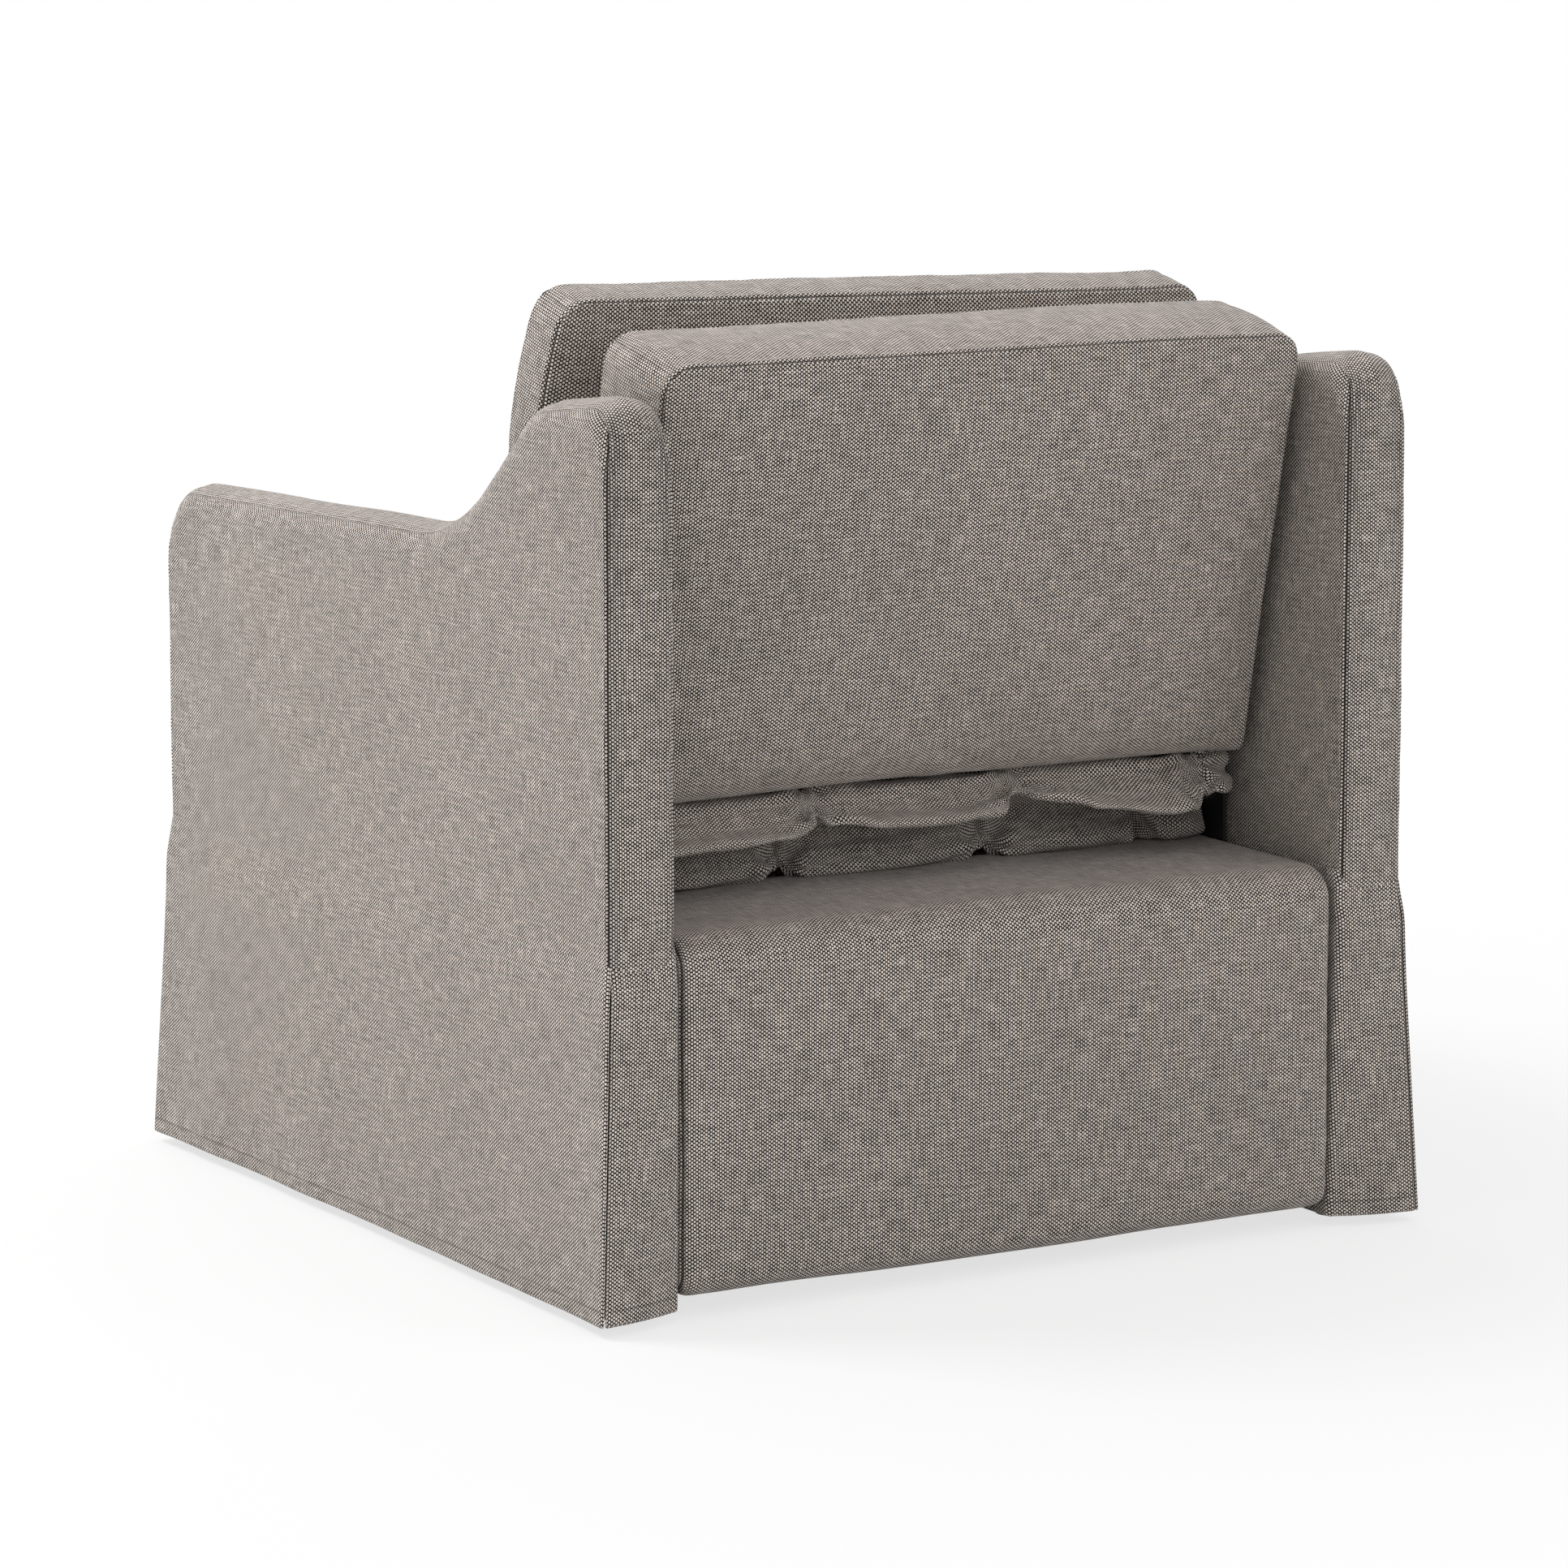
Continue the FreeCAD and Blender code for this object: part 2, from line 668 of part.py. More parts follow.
def gather(stations):
    """Loose cloth roll across the chair; a station is X, rear bulge, drop and top height."""
    front = 246.0
    count = 15
    rings = []
    for i in range(count):
        x = stations[0][0] + (stations[-1][0] - stations[0][0]) * i / (count - 1)
        bulge, drop, top = between(stations, x)
        reach = (40.0 + bulge) / 2
        mid_y = front + reach - 4.0
        mid_z = top - drop / 2
        corners = []
        for k in range(12):
            a = math.radians(30 * k)
            fall = 0.25 * reach * math.sin(a)
            corners.append(
                Vector(x, mid_y + reach * math.cos(a) - fall, mid_z + drop / 2 * math.sin(a))
            )
        rings.append(corners)
    return faceted(rings)


def back_gathers():
    """Two tiers of gathered cloth that close the gap under the back as it lies down."""
    end = 339.0
    upper = [
        (end, 30.0, 34.0, 431.0),
        (262.0, 36.0, 37.0, 431.0),
        (190.0, 16.0, 26.0, 432.0),
        (85.0, 38.0, 34.0, 431.0),
        (-20.0, 20.0, 25.0, 432.0),
        (-85.0, 30.0, 28.0, 432.0),
        (-150.0, 14.0, 24.0, 432.0),
        (-230.0, 44.0, 38.0, 430.0),
        (-end, 26.0, 32.0, 431.0),
    ]
    lower = [
        (end, 34.0, 34.0, 388.0),
        (230.0, 22.0, 35.0, 388.0),
        (110.0, 46.0, 36.0, 389.0),
        (0.0, 26.0, 45.0, 398.0),
        (-80.0, 44.0, 43.0, 396.0),
        (-190.0, 24.0, 34.0, 387.0),
        (-270.0, 38.0, 34.0, 387.0),
        (-end, 28.0, 34.0, 388.0),
    ]
    return gather(upper), gather(lower)


def seat_cushion():
    """Boxed seat cushion lying on the slats, its crown upward."""
    length = HALF_D - 12.5 + SEAT_REAR
    cushion = loft_cushion(SEAT_HALF_WIDTH, length, SEAT_THICK, SEAT_CROWN, 0.0, 24.0)
    cushion.rotate(Vector(0, 0, 0), Vector(1, 0, 0), 90.0)
    cushion.translate(Vector(0, SEAT_REAR, DECK_TOP))
    return cushion


def glide(x, y, socket_top):
    """Plastic foot under a panel, with its nail up into the panel."""
    foot = rod(GLIDE_RADIUS, (x, y, 0), (x, y, FLOOR_GAP))
    return foot.fuse(rod(NAIL_RADIUS, (x, y, FLOOR_GAP), (x, y, socket_top)))


def build_arms():
    """Arms with their frames, feet, skirts, rails and bolts."""
    frame_mid = ARM_INNER + 33.0
    feet = [glide(frame_mid, y, FLOOR_GAP + 34.0) for y in (-395.0, 395.0)]
    bolts = rail_bolts()
    frame = arm_frame()
    body = arm_body().cut([frame] + feet + bolts)
    side, rear, front = arm_skirts()
    save_pair("arm_cover", body)
    save_pair("arm_frame", frame.cut(feet + bolts))
    save_pair("arm_side_skirt", side)
    save_pair("arm_rear_skirt", rear)
    save_pair("arm_front_skirt", front)
    save_pair("seat_rail", channel().cut(bolts))
    save("arm_glides", *feet, *[mirrored(f) for f in feet])
    save("rail_bolts", *bolts, *[mirrored(b) for b in bolts])


def build_rear_block():
    """Rear block with its boards, feet, hinge plates, pins and pawls."""
    cover, boards = rear_block()
    screws = leaf_screw_group()
    screws += [mirrored(s) for s in screws]
    y_mid = (BLOCK_FRONT + HALF_D) / 2
    feet = [glide(x, y_mid, FLOOR_GAP + 20.0) for x in (-290.0, 290.0)]
    save("rear_block_cover", cover.cut(screws + feet))
    for name, board in boards.items():
        save(name, board.cut(screws + feet))
    save("rear_glides", *feet)
    save("hinge_screws", *screws)
    back_pin, pawl_pin = hinge_pins()
    save_both("hinge_plates", fixed_leaf())
    save_both("hinge_pins", back_pin)
    save_both("pawl_pins", pawl_pin)
    save_pair("pawl", pawl())


def build_back():
    """Hinged back, its hinge arms, the loose cushion and the gathers."""
    cushion, frame, bolts = backrest()
    save("backrest_cushion", cushion)
    save("backrest_frame", frame)
    save("back_bolts", *bolts)
    save_both("hinge_arms", moving_leaf().cut(bolts))
    pillow = loft_cushion(PILLOW_HALF_WIDTH, PILLOW_HEIGHT, PILLOW_EDGE, 40.0, 44.0, 34.0)
    pillow.translate(Vector(0, -PILLOW_EDGE / 2, 0))
    save("loose_back_cushion", leaned(pillow, PILLOW_FOOT))
    upper, lower = back_gathers()
    save("upper_gather", upper)
    save("lower_gather", lower)


def build_deck():
    """Fixed slats and the roll-out deck with its padded front and castors."""
    moving, fixed, stop_bar, rear_bar = deck()
    save("pull_out_slats", *moving)
    save("fixed_slats", *fixed)
    save("fixed_crossbar", stop_bar)
    save("pull_out_crossbar", rear_bar)
    save_pair("guide_block", guide_block())
    board, pad, skirt = front_assembly()
    save("pull_out_front_board", board)
    save("pull_out_front_pad", pad.cut(moving))
    save("pull_out_skirt", skirt)
    save("pull_strap", pull_strap().cut(skirt))
    bracket, axle, wheel = castor()
    save_both("castor_brackets", bracket)
    save_both("castor_axles", axle)
    save_pair("castor_wheel", wheel)


def main():
    os.makedirs("parts", exist_ok=True)
    build_arms()
    build_rear_block()
    save("seat_cushion", seat_cushion())
    build_back()
    build_deck()


main()
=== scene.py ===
"""Looks of the convertible chair bed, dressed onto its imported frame.

Metres. +Z is up, the sitter faces -Y, the sitter's left is +X and the floor is at Z = 0.
"""

import json
import math

import bmesh
import bpy
import numpy as np
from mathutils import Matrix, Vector, noise


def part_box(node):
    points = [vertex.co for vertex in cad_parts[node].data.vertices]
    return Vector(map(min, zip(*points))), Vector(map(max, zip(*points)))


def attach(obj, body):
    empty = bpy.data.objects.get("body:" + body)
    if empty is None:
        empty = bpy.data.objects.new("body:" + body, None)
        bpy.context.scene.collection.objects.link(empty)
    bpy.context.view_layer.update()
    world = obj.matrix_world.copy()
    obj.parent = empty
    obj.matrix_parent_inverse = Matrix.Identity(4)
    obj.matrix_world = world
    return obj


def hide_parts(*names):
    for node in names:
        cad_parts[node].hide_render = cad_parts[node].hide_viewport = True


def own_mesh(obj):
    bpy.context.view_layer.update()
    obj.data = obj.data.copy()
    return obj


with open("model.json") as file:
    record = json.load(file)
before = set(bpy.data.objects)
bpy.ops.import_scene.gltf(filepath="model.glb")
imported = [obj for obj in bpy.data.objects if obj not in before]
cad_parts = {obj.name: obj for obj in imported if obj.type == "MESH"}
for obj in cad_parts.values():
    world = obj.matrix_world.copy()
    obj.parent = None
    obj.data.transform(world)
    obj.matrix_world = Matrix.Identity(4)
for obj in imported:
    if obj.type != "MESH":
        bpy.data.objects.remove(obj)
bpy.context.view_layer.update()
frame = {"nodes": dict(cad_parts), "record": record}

# Driving sizes, as in the part
HALF_W = 0.430
HALF_D = 0.4495
ARM_WIDTH = 0.069
ARM_INNER = HALF_W - ARM_WIDTH
ARM_FRONT_HEIGHT = 0.669
ARM_FRONT = -0.448
SKIRT_TOP = 0.335
HEM_HEIGHT = 0.011
HEM_FLARE = 0.0165
CLOTH = 0.003
FLOOR_GAP = 0.020
BACK_LEAN = 12.2
BACK_HALF_WIDTH = 0.342
BACK_HEIGHT = 0.424
BACK_EDGE = 0.112
BACK_FOOT = (0.313, 0.4386)
PILLOW_HALF_WIDTH = 0.343
PILLOW_EDGE = 0.055
PILLOW_FOOT = (0.106, 0.470)
PILLOW_HEIGHT = 0.427
CELL = 0.012
HEM_FOLD = 0.0135


def turned(angle_deg):
    """Unit vector at an angle in a plane."""
    a = math.radians(angle_deg)
    return np.array([math.cos(a), math.sin(a)])


def run_sides(start, heading, steps, out_turn):
    """Finely sampled tangent run of (length,) lines and (radius, turn) arcs, cut at each None.

    Each side is points, heading angles and bend per point; out_turn turns a heading outward.
    """
    here = np.array(start, float)
    angle = heading
    sides = []
    points = [here]
    angles = [angle]
    bends = [0.0]
    for step in steps:
        if step is None:
            sides.append((np.array(points), np.array(angles), np.array(bends)))
            points, angles, bends = [here], [angle], [bends[-1]]
            continue
        if len(step) == 1:
            count = max(2, int(step[0] / 0.002))
            for k in range(1, count + 1):
                points.append(here + turned(angle) * step[0] * k / count)
                angles.append(angle)
                bends.append(0.0)
        else:
            radius, turn = step
            side = math.copysign(1.0, turn)
            centre = here + turned(angle + 90 * side) * radius
            count = max(4, int(abs(turn) / 3))
            for k in range(1, count + 1):
                now = angle + turn * k / count
                points.append(centre - turned(now + 90 * side) * radius)
                angles.append(now)
                bends.append(1 / radius)
            angle += turn
        here = points[-1]
    sides.append((np.array(points), np.array(angles), np.array(bends)))
    return [side + (out_turn,) for side in sides]


def density(side, cell):
    """Running count of grid lines along a side, closer at its ends and round bends."""
    points, _, bends, _ = side
    per_bend = 2.5
    most = 200.0
    at_ends = 230.0
    fade = 0.004
    steps = np.linalg.norm(np.diff(points, axis=0), axis=1)
    at = run_length(points)
    ends = np.minimum(at, at[-1] - at)
    need = 1 / cell + np.minimum(bends * per_bend, most) + at_ends * np.exp(-ends / fade)
    return np.concatenate([[0.0], np.cumsum(steps * (need[1:] + need[:-1]) / 2)])


def sample(side, count, cell):
    """Points and outward normals at count + 1 places along a side."""
    points, angles, _, out_turn = side
    run = density(side, cell)
    want = np.linspace(0, run[-1], count + 1)
    p = np.stack([np.interp(want, run, points[:, k]) for k in range(2)], axis=1)
    a = np.radians(np.interp(want, run, angles) + out_turn)
    return p, np.stack([np.cos(a), np.sin(a)], axis=1)


def coons(bottom, right, top, left):
    """Grid of points that fills four border lines; all run left to right or upward."""
    u = (arc_share(bottom) + arc_share(top)) / 2
    v = (arc_share(left) + arc_share(right)) / 2
    u = u[None, :, None]
    v = v[:, None, None]
    ruled = (1 - v) * bottom[None] + v * top[None] + (1 - u) * left[:, None] + u * right[:, None]
    corners = (
        (1 - u) * (1 - v) * bottom[0] + u * (1 - v) * bottom[-1]
        + (1 - u) * v * top[0] + u * v * top[-1]
    )
    return ruled - corners


def run_length(points):
    """Length from its start to each point of a line."""
    steps = np.linalg.norm(np.diff(points, axis=0), axis=1)
    return np.concatenate([[0.0], np.cumsum(steps)])


def arc_share(points):
    """Share of its length at each point of a line."""
    at = run_length(points)
    return at / at[-1]


def spots(x, y, z):
    """Points from their X, Y and Z, each an array or one number."""
    return np.stack(np.broadcast_arrays(x, y, z), axis=-1)


def laid_flat(rows, columns):
    """Grid of places in flat cloth, from its places along the rows and down the columns."""
    return np.stack(np.meshgrid(rows, columns), axis=-1)


class Shell:
    """Quad patches that share their borders, gathered into one mesh."""

    def __init__(self):
        self.points = []
        self.faces = []
        self.cloth = []
        self.marks = {"seam": [], "rib": [], "stitch": []}

    def add(self, grid, seam=1.0, rib=0.0, stitch=1.0, closed=False, cloth=None):
        """A patch of points [rows, columns, 3], with a value of each mark at each point.

        Marks are distances to a seam and a stitch line, and the strength of ribs beside a seam;
        cloth is the place of each point in the flat cloth, in metres.
        """
        rows, cols = grid.shape[:2]
        start = len(self.points)
        self.points.extend(grid.reshape(-1, 3).tolist())
        for key, value in (("seam", seam), ("rib", rib), ("stitch", stitch)):
            self.marks[key].extend(np.broadcast_to(value, (rows, cols)).reshape(-1).tolist())
        around = np.concatenate([grid, grid[:, :1]], axis=1) if closed else grid
        if cloth is None:
            cloth = laid_flat(run_length(around[rows // 2]), run_length(around[:, cols // 2]))
        for i in range(rows - 1):
            for j in range(around.shape[1] - 1):
                k = (j + 1) % cols
                a = start + i * cols
                self.faces.append((a + j, a + k, a + cols + k, a + cols + j))
                for r, c in ((i, j), (i, j + 1), (i + 1, j + 1), (i + 1, j)):
                    self.cloth.extend(cloth[r, c].tolist())

    def build(self, name):
        """The mesh, with its borders welded and its faces turned outward."""
        mesh = bpy.data.meshes.new(name)
        mesh.from_pydata(self.points, [], self.faces)
        for key, values in self.marks.items():
            layer = mesh.attributes.new(key, "FLOAT", "POINT")
            layer.data.foreach_set("value", np.array(values, np.float32))
        flat = mesh.uv_layers.new(name="cloth")
        flat.data.foreach_set("uv", np.array(self.cloth, np.float32))
        bm = bmesh.new()
        bm.from_mesh(mesh)
        bmesh.ops.remove_doubles(bm, verts=bm.verts, dist=2e-5)
        bmesh.ops.dissolve_degenerate(bm, edges=bm.edges, dist=1e-6)
        bmesh.ops.recalc_face_normals(bm, faces=bm.faces)
        bm.to_mesh(mesh)
        bm.free()
        mesh.shade_smooth()
        return mesh


def in_scene(name, data):
    """A new object, linked to the scene."""
    obj = bpy.data.objects.new(name, data)
    bpy.context.scene.collection.objects.link(obj)
    return obj


def aimed(obj, spot, way):
    """Stand a lamp or camera at a spot, facing a way."""
    obj.location = spot
    obj.rotation_mode = "QUATERNION"
    obj.rotation_quaternion = Vector(way).to_track_quat("-Z", "Y")


def add_object(name, mesh, material, body):
    """Put a mesh in the scene, on its body, with its material and slot."""
    obj = in_scene(name, mesh)
    mesh.materials.clear()
    mesh.materials.append(material)
    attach(obj, body)
    return obj


def coords(mesh):
    """Vertex positions as an array."""
    co = np.zeros(len(mesh.vertices) * 3)
    mesh.vertices.foreach_get("co", co)
    return co.reshape(-1, 3)


def normals(mesh):
    """Vertex normals as an array."""
    out = np.zeros(len(mesh.vertices) * 3)
    mesh.vertex_normals.foreach_get("vector", out)
    return out.reshape(-1, 3)


def values(mesh, name):
    """A float attribute as an array."""
    out = np.zeros(len(mesh.vertices))
    mesh.attributes[name].data.foreach_get("value", out)
    return out


def put_coords(mesh, co):
    """Write vertex positions back."""
    mesh.vertices.foreach_set("co", co.astype(np.float32).reshape(-1))
    mesh.update()


def refined(mesh, levels=1):
    """The mesh after smooth subdivision, its attributes carried along."""
    obj = in_scene("refine", mesh)
    sub = obj.modifiers.new("refine", "SUBSURF")
    sub.levels = levels
    sub.render_levels = levels
    graph = bpy.context.evaluated_depsgraph_get()
    fine = bpy.data.meshes.new_from_object(obj.evaluated_get(graph))
    bpy.data.objects.remove(obj)
    return fine


def inflated(mesh, cap, pressure=4.0, hold=0.5, frames=20):
    """The mesh after a short cloth simulation under inner pressure; no point moves over cap."""
    rest = coords(mesh)
    obj = in_scene("inflate", mesh)
    seam = values(mesh, "seam")
    pins = obj.vertex_groups.new(name="pins")
    for i in np.nonzero(seam < 1e-6)[0]:
        pins.add([int(i)], hold, "REPLACE")
    cloth = obj.modifiers.new("cloth", "CLOTH")
    settings = {
        "quality": 6, "mass": 0.3, "tension_stiffness": 20, "compression_stiffness": 20,
        "shear_stiffness": 8, "bending_stiffness": 4, "air_damping": 4, "use_pressure": True,
        "uniform_pressure_force": pressure, "vertex_group_mass": "pins", "pin_stiffness": 1,
    }
    for key, value in settings.items():
        setattr(cloth.settings, key, value)
    cloth.settings.effector_weights.gravity = 0
    cloth.point_cache.frame_start = 1
    cloth.point_cache.frame_end = frames
    scene = bpy.context.scene
    for f in range(1, frames + 1):
        scene.frame_set(f)
    graph = bpy.context.evaluated_depsgraph_get()
    soft = bpy.data.meshes.new_from_object(obj.evaluated_get(graph))
    bpy.data.objects.remove(obj)
    scene.frame_set(1)
    move = coords(soft) - rest
    far = np.linalg.norm(move, axis=1, keepdims=True)
    put_coords(soft, rest + move / np.sqrt(1 + (far / cap) ** 2))
    return soft


def waves(co, scale, seed):
    """Smooth noise from -1 to 1 at each point; scale is the size of its waves."""
    shift = Vector((seed * 7.1, seed * 3.7, seed * 5.3))
    scale = np.broadcast_to(np.array(scale, float), (3,))
    return np.array([noise.noise(Vector(p) + shift) for p in co / scale])


def sewn(mesh, seed, groove=0.0016, pucker=0.0009, sag=0.0012, calm=None):
    """Draw seams into the mesh, with small puckers beside them and a slow unevenness.

    calm turns positions into shares, 0 where the surface has to stay as it is.
    """
    co = coords(mesh)
    out = normals(mesh)
    seam = values(mesh, "seam")
    stitched = 0.15 * groove
    welt = 0.0007
    depth = groove * np.exp(-((seam / 0.0022) ** 2))
    depth += stitched * np.exp(-((values(mesh, "stitch") / 0.002) ** 2))
    beside = np.exp(-((seam / 0.022) ** 2)) * (1 - np.exp(-((seam / 0.004) ** 2)))
    ripple = waves(co, 0.013, seed) * pucker * beside
    slow = waves(co, 0.11, seed + 3) * sag
    lift = welt * np.exp(-(((seam - 0.0045) / 0.0025) ** 2))
    move = ripple + slow + lift - depth
    if calm is not None:
        move *= calm(co)
    put_coords(mesh, co + out * move[:, None])
    return mesh


def eased(value, low, high):
    """0 below low and 1 above high, smooth between."""
    t = np.clip((value - low) / (high - low), 0, 1)
    return t * t * (3 - 2 * t)


def rounded_rectangle(width, height, radii):
    """Four sides of a rounded rectangle round the origin, cut at the middles of its corners.

    Radii are of the lower left, lower right, upper right and upper left corners.
    """
    bl, br, tr, tl = radii
    start = np.array([-width / 2 + bl, -height / 2 + bl]) + turned(225) * bl
    steps = [
        (bl, 45.0), (width - bl - br,), (br, 45.0), None,
        (br, 45.0), (height - br - tr,), (tr, 45.0), None,
        (tr, 45.0), (width - tr - tl,), (tl, 45.0), None,
        (tl, 45.0), (height - tl - bl,), (bl, 45.0),
    ]
    return run_sides(start, -45.0, steps, -90.0)


def boxed(name, sides, rings, place, crowns, cell=CELL, seams=(0, -1), mitres=(), plain=(),
          steep=0.6, crosswise=False):
    """Closed cushion of two panels and a strip round them.

    A ring is (inset, depth) across the strip; place turns (point, depth) into the chair's frame;
    crowns are how far the first and last panels dome outward, and a lower steep rises faster from
    their edges; seams names the rings that are sewn; mitres are the corners, 0 to 3, where a seam
    crosses the strip, and plain sides have no seam; crosswise turns the strip's cloth by a quarter.
    """
    across = int(max(density(sides[0], cell)[-1], density(sides[2], cell)[-1]) + 0.5)
    tall = int(max(density(sides[1], cell)[-1], density(sides[3], cell)[-1]) + 0.5)
    counts = (across, tall, across, tall)
    sampled = [sample(s, n, cell) for s, n in zip(sides, counts)]
    loop = np.concatenate([p[:-1] for p, _ in sampled])
    outward = np.concatenate([n[:-1] for _, n in sampled])
    starts = np.cumsum([0] + [len(p) - 1 for p, _ in sampled[:3]])
    along = np.linalg.norm(np.roll(loop, -1, axis=0) - loop, axis=1)
    at = np.concatenate([[0.0], np.cumsum(along)[:-1]])
    total = along.sum()
    shell = Shell()
    strip = np.stack([place(loop - outward * inset, depth) for inset, depth in rings])
    section = np.array(rings)
    walk = np.linalg.norm(np.diff(section, axis=0), axis=1)
    walk = np.concatenate([[0.0], np.cumsum(walk)])
    sewn_at = np.array([walk[s] for s in seams])
    off = np.abs(walk[:, None] - sewn_at[None, :]).min(axis=1)
    off = np.repeat(off[:, None], len(loop), axis=1)
    ends = list(starts) + [len(loop)]
    unsewn = np.zeros(len(loop))
    for k in plain:
        unsewn[ends[k]:ends[k + 1]] = 0.05
    off = off + unsewn[None, :]
    crossing = np.full(len(loop), 1.0)
    for corner in mitres:
        gap = np.abs(at - at[starts[corner]])
        crossing = np.minimum(crossing, np.minimum(gap, total - gap))
    lie = laid_flat(np.append(at, total), walk)
    if crosswise:
        lie = lie[..., ::-1]
    shell.add(strip, off, 0.0, crossing[None, :], closed=True, cloth=lie)
    for ring, crown, sign in ((0, crowns[0], -1.0), (-1, crowns[1], 1.0)):
        inset, depth = rings[ring]
        border = loop - outward * inset
        lines = [
            np.concatenate([border[ends[k]:ends[k + 1]], border[ends[k + 1] % len(loop)][None]])
            for k in range(4)
        ]
        flat = coons(lines[0], lines[1], lines[2][::-1], lines[3][::-1])
        u = (arc_share(lines[0]) * 2 - 1)[None, :]
        v = (arc_share(lines[1]) * 2 - 1)[:, None]
        dome = ((1 - np.abs(u) ** 2.4) * (1 - np.abs(v) ** 2.4)) ** steep
        grid = place(flat.reshape(-1, 2), depth + sign * crown * dome.reshape(-1))
        grid = grid.reshape(flat.shape[0], flat.shape[1], 3)
        upward = v if 0 in plain else np.abs(v)
        reach = np.minimum((1 - np.abs(u)) * np.ptp(flat[..., 0]) / 2,
                           (1 - upward) * np.ptp(flat[..., 1]) / 2)
        away = abs(walk[ring] - sewn_at).min()
        shell.add(grid, np.maximum(reach, 0) + away, cloth=flat)
    return shell.build(name)


def leaned(foot):
    """Frame of the back: across, forward from its rear seam and up become X, Y and Z."""
    lean = math.radians(BACK_LEAN)

    def place(across, forward, up):
        y = foot[0] - forward * math.cos(lean) + up * math.sin(lean)
        z = foot[1] + forward * math.sin(lean) + up * math.cos(lean)
        return spots(across, y, z)

    return place


class Nodes:
    """Short way to write the nodes of a material or a world."""

    def __init__(self, name, kind="materials"):
        self.owner = getattr(bpy.data, kind).new(name)
        self.owner.use_nodes = True
        self.tree = self.owner.node_tree
        self.shader = self.tree.nodes.get("Principled BSDF")

    def node(self, kind, **settings):
        made = self.tree.nodes.new(kind)
        for key, value in settings.items():
            setattr(made, key, value)
        return made

    def feed(self, socket, value):
        if isinstance(value, (int, float, tuple)):
            socket.default_value = value
        else:
            self.tree.links.new(value, socket)

    def math(self, kind, a, b=0.0, c=0.0):
        made = self.node("ShaderNodeMath", operation=kind)
        for socket, value in zip(made.inputs, (a, b, c)):
            self.feed(socket, value)
        return made.outputs[0]

    def choose(self, share, a, b):
        """Number a where share is 0, b where it is 1."""
        made = self.node("ShaderNodeMix", data_type="FLOAT")
        for socket, value in zip((made.inputs[0], made.inputs[2], made.inputs[3]), (share, a, b)):
            self.feed(socket, value)
        return made.outputs[0]

    def blend(self, share, a, b, kind="MIX"):
        """Colour a where share is 0, b where it is 1."""
        made = self.node("ShaderNodeMix", data_type="RGBA", blend_type=kind)
        for socket, value in zip((made.inputs[0], made.inputs[6], made.inputs[7]), (share, a, b)):
            self.feed(socket, value)
        return made.outputs[2]

    def smooth(self, value, low, high):
        """0 below low and 1 above high, eased between."""
        made = self.node("ShaderNodeMapRange", interpolation_type="SMOOTHSTEP")
        self.feed(made.inputs[0], value)
        made.inputs[1].default_value = low
        made.inputs[2].default_value = high
        return made.outputs[0]

    def vector(self, x, y, z=0.0):
        made = self.node("ShaderNodeCombineXYZ")
        for socket, value in zip(made.inputs, (x, y, z)):
            self.feed(socket, value)
        return made.outputs[0]

    def noise(self, vector, scale, detail=2.0, rough=0.5):
        made = self.node("ShaderNodeTexNoise")
        self.feed(made.inputs["Vector"], vector)
        made.inputs["Scale"].default_value = scale
        made.inputs["Detail"].default_value = detail
        made.inputs["Roughness"].default_value = rough
        return made.outputs["Fac"]

    def place(self):
        """Rest position in the object's own frame."""
        return self.node("ShaderNodeTexCoord").outputs["Object"]

    def split(self, vector):
        """The X, Y and Z of a vector."""
        made = self.node("ShaderNodeSeparateXYZ")
        self.feed(made.inputs[0], vector)
        return list(made.outputs)

    def scaled(self, vector, scales):
        """A vector with each of its parts multiplied."""
        return self.vector(*[self.math("MULTIPLY", part, scale)
                             for part, scale in zip(self.split(vector), scales)])

    def seen(self):
        """1 for rays from the camera, off gloss or through glass, else 0."""
        rays = self.node("ShaderNodeLightPath").outputs
        shown = self.math("MAXIMUM", rays["Is Camera Ray"], rays["Is Glossy Ray"])
        return self.math("MAXIMUM", shown, rays["Is Transmission Ray"])

    def mixed(self, share, a, b, output):
        """Shader a where share is 0, b where it is 1, on the output node."""
        made = self.node("ShaderNodeMixShader")
        for socket, value in zip(made.inputs, (share, a, b)):
            self.feed(socket, value)
        self.feed(self.tree.nodes[output].inputs["Surface"], made.outputs[0])

    def finish(self, colour, height, depth, strength=1.0, **sockets):
        """Colour and bump on the shader, and the numbers of its other sockets."""
        self.feed(self.shader.inputs["Base Color"], colour)
        bump = self.node("ShaderNodeBump")
        bump.inputs["Strength"].default_value = strength
        bump.inputs["Distance"].default_value = depth
        self.feed(bump.inputs["Height"], height)
        self.feed(self.shader.inputs["Normal"], bump.outputs[0])
        for key, value in sockets.items():
            self.feed(self.shader.inputs[key.replace("_", " ")], value)
        return self.owner


